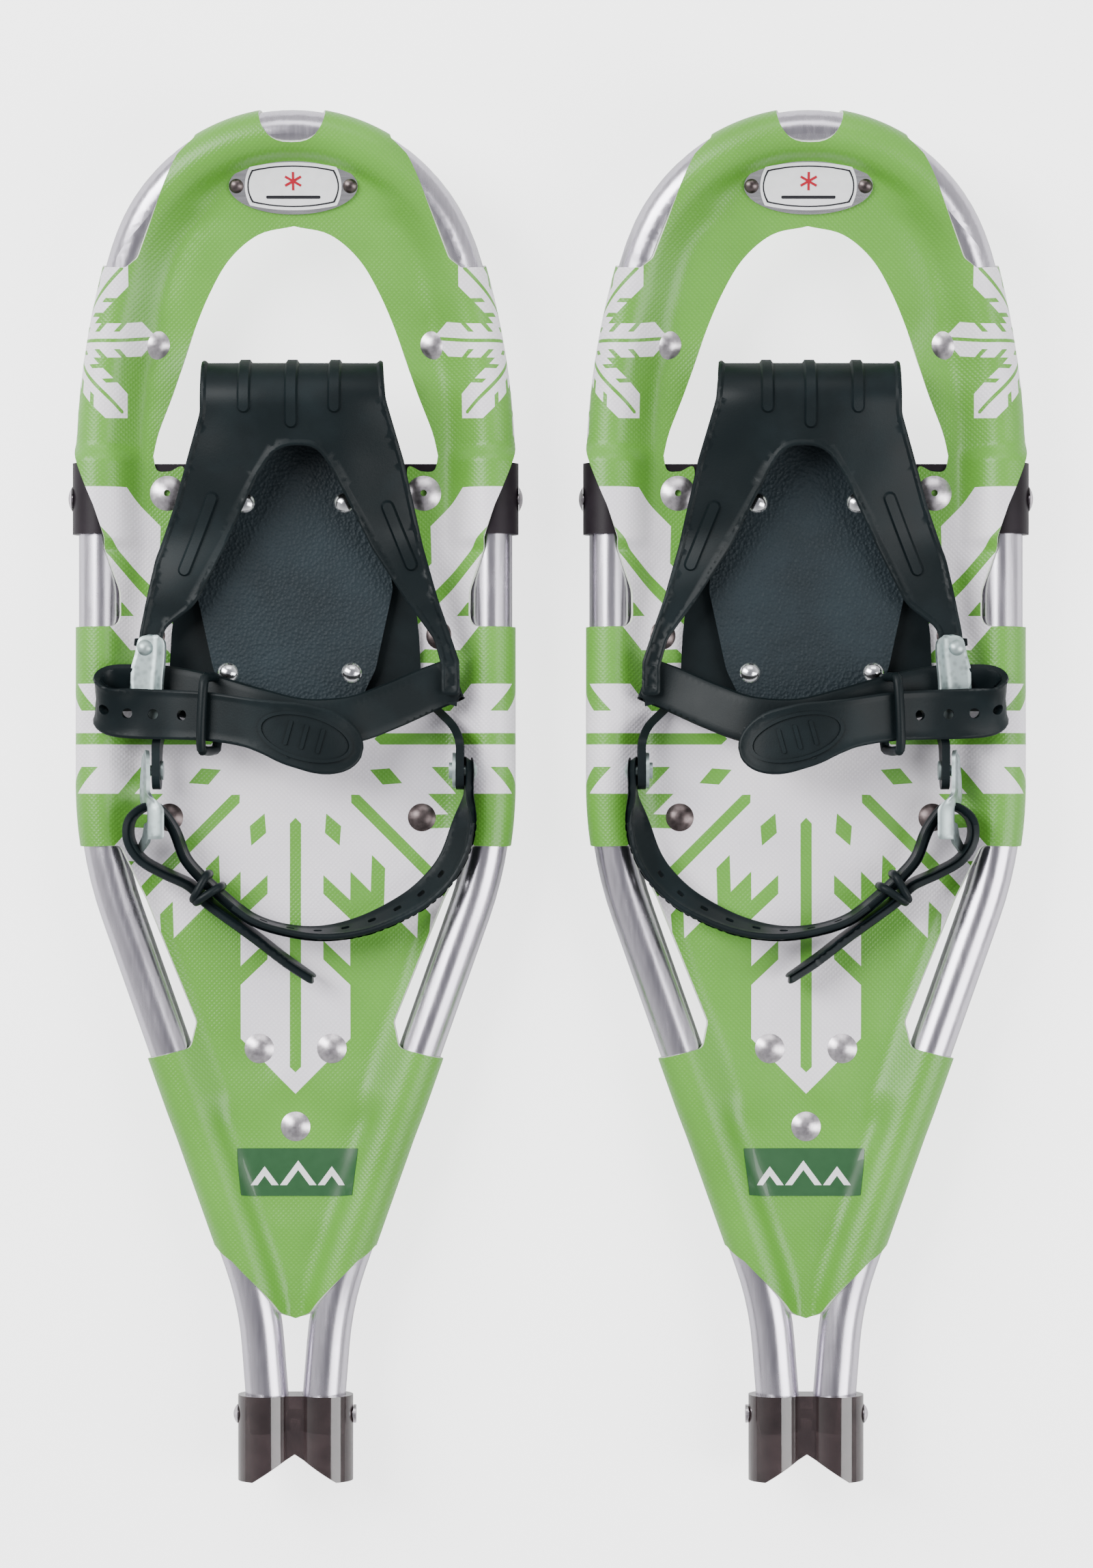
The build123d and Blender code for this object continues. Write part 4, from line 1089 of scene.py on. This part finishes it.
def build_label():
    box = rounded_box(-21.7, -148.4, 23.7, -130.7, 0.4)
    flat_print("tail_label", box, [], drape(0.3), "label", step=2.5)
    foot, width, steepness = -144.4, 2.6, 1.35
    for i, (x, size) in enumerate(((-11.5, 5.2), (1, 6.8), (13.5, 5.2))):
        chevron = np.array([(x - size, foot), (x - size + width, foot),
                            (x, foot + steepness * (size - width)), (x + size - width, foot),
                            (x + size, foot), (x, foot + steepness * size)])
        flat_print(f"label_peak_{i}", chevron, [], drape(0.45), "panel", step=2.5)


build_badge_print()
build_label()


# -------- carried-over parts

CARRIED = {
    "tube": "frame_tube", "cap": "tail_cap", "plate": "badge_plate", "panel": "badge_panel",
    "rivet": "tail_cap_rivet deck_rivets strap_tube_rivets strap_deck_rivets",
    # heel cleat rivets take the darkened rivet metal, painted shade for rivets lying in shadow
    "dark": "badge_rivets heel_cleat_rivets", "bright": "foot_pad_rivets",
    "strap": "hinge_strap_ends hinge_strap_centre", "steel": "heel_cleats crampon",
    "rubber": "binding_base", "pad": "foot_pad",
    "zinc": "instep_buckle_rivet heel_strap_rivet heel_strap_washer heel_buckle_rivet",
}
for material, names in CARRIED.items():
    for node in names.split():
        dress(node, material)


# -------- floor, light and camera

def build_stage():
    mesh = bpy.data.meshes.new("floor")
    corners = [(x, y, -0.0005) for x, y in ((-9, -9), (9, -9), (9, 9), (-9, 9))]
    mesh.from_pydata(corners, [], [(0, 1, 2, 3)])
    nodes = Nodes("floor_paper")
    seen = nodes.add("ShaderNodeLightPath").outputs["Is Camera Ray"]
    paper = nodes.ramp(nodes.noise(3, 2), (0.9, 0.9, 0.9), (0.93, 0.93, 0.93))
    mesh.materials.append(nodes.set(Base_Color=paper, Roughness=0.9, Emission_Color=(1, 1, 1, 1),
                                    Emission_Strength=nodes.math("MULTIPLY", seen, 2.2)))
    new_object("floor", mesh)


def area_light(name, place, size, power):
    """A rectangular lamp aimed at the origin."""
    light = bpy.data.lights.new(name, "AREA")
    light.shape = "RECTANGLE"
    light.size, light.size_y = size
    light.energy = power
    lamp = new_object(name, light)
    lamp.location = place
    lamp.rotation_euler = (-Vector(place)).to_track_quat("-Z", "Y").to_euler()


def build_light():
    world = bpy.data.worlds.new("studio")
    bpy.context.scene.world = world
    world.use_nodes = True
    tree = world.node_tree
    background = tree.nodes["Background"]
    place = tree.nodes.new("ShaderNodeTexCoord")
    split = tree.nodes.new("ShaderNodeSeparateXYZ")
    ramp = tree.nodes.new("ShaderNodeValToRGB")
    tree.links.new(place.outputs["Generated"], split.inputs[0])
    tree.links.new(split.outputs["Z"], ramp.inputs["Fac"])
    tree.links.new(ramp.outputs["Color"], background.inputs["Color"])
    low, high = ramp.color_ramp.elements
    low.color, low.position = (1, 1, 1, 1), 0.35
    high.color, high.position = (0.32, 0.32, 0.34, 1), 0.98
    background.inputs["Strength"].default_value = 0.85
    area_light("key", (-1.1, 0.6, 1.3), (0.7, 1.3), 40)
    area_light("fill", (1.2, -0.3, 1.2), (0.7, 1.3), 22)
    area_light("top", (0.1, 1.5, 1.4), (1.4, 0.7), 10)


def build_camera():
    """Straight above the pair. The picture's long side spans frame_height just above the floor."""
    data = bpy.data.cameras.new("camera")
    data.sensor_width = 36
    data.lens = 100
    frame_height = 0.5823
    camera = new_object("camera", data)
    camera.location = (-0.0016, 0.0055, 0.03 + data.lens * frame_height / data.sensor_width)
    bpy.context.scene.camera = camera


build_stage()
build_light()
build_camera()


# -------- final scene update


bpy.context.view_layer.update()
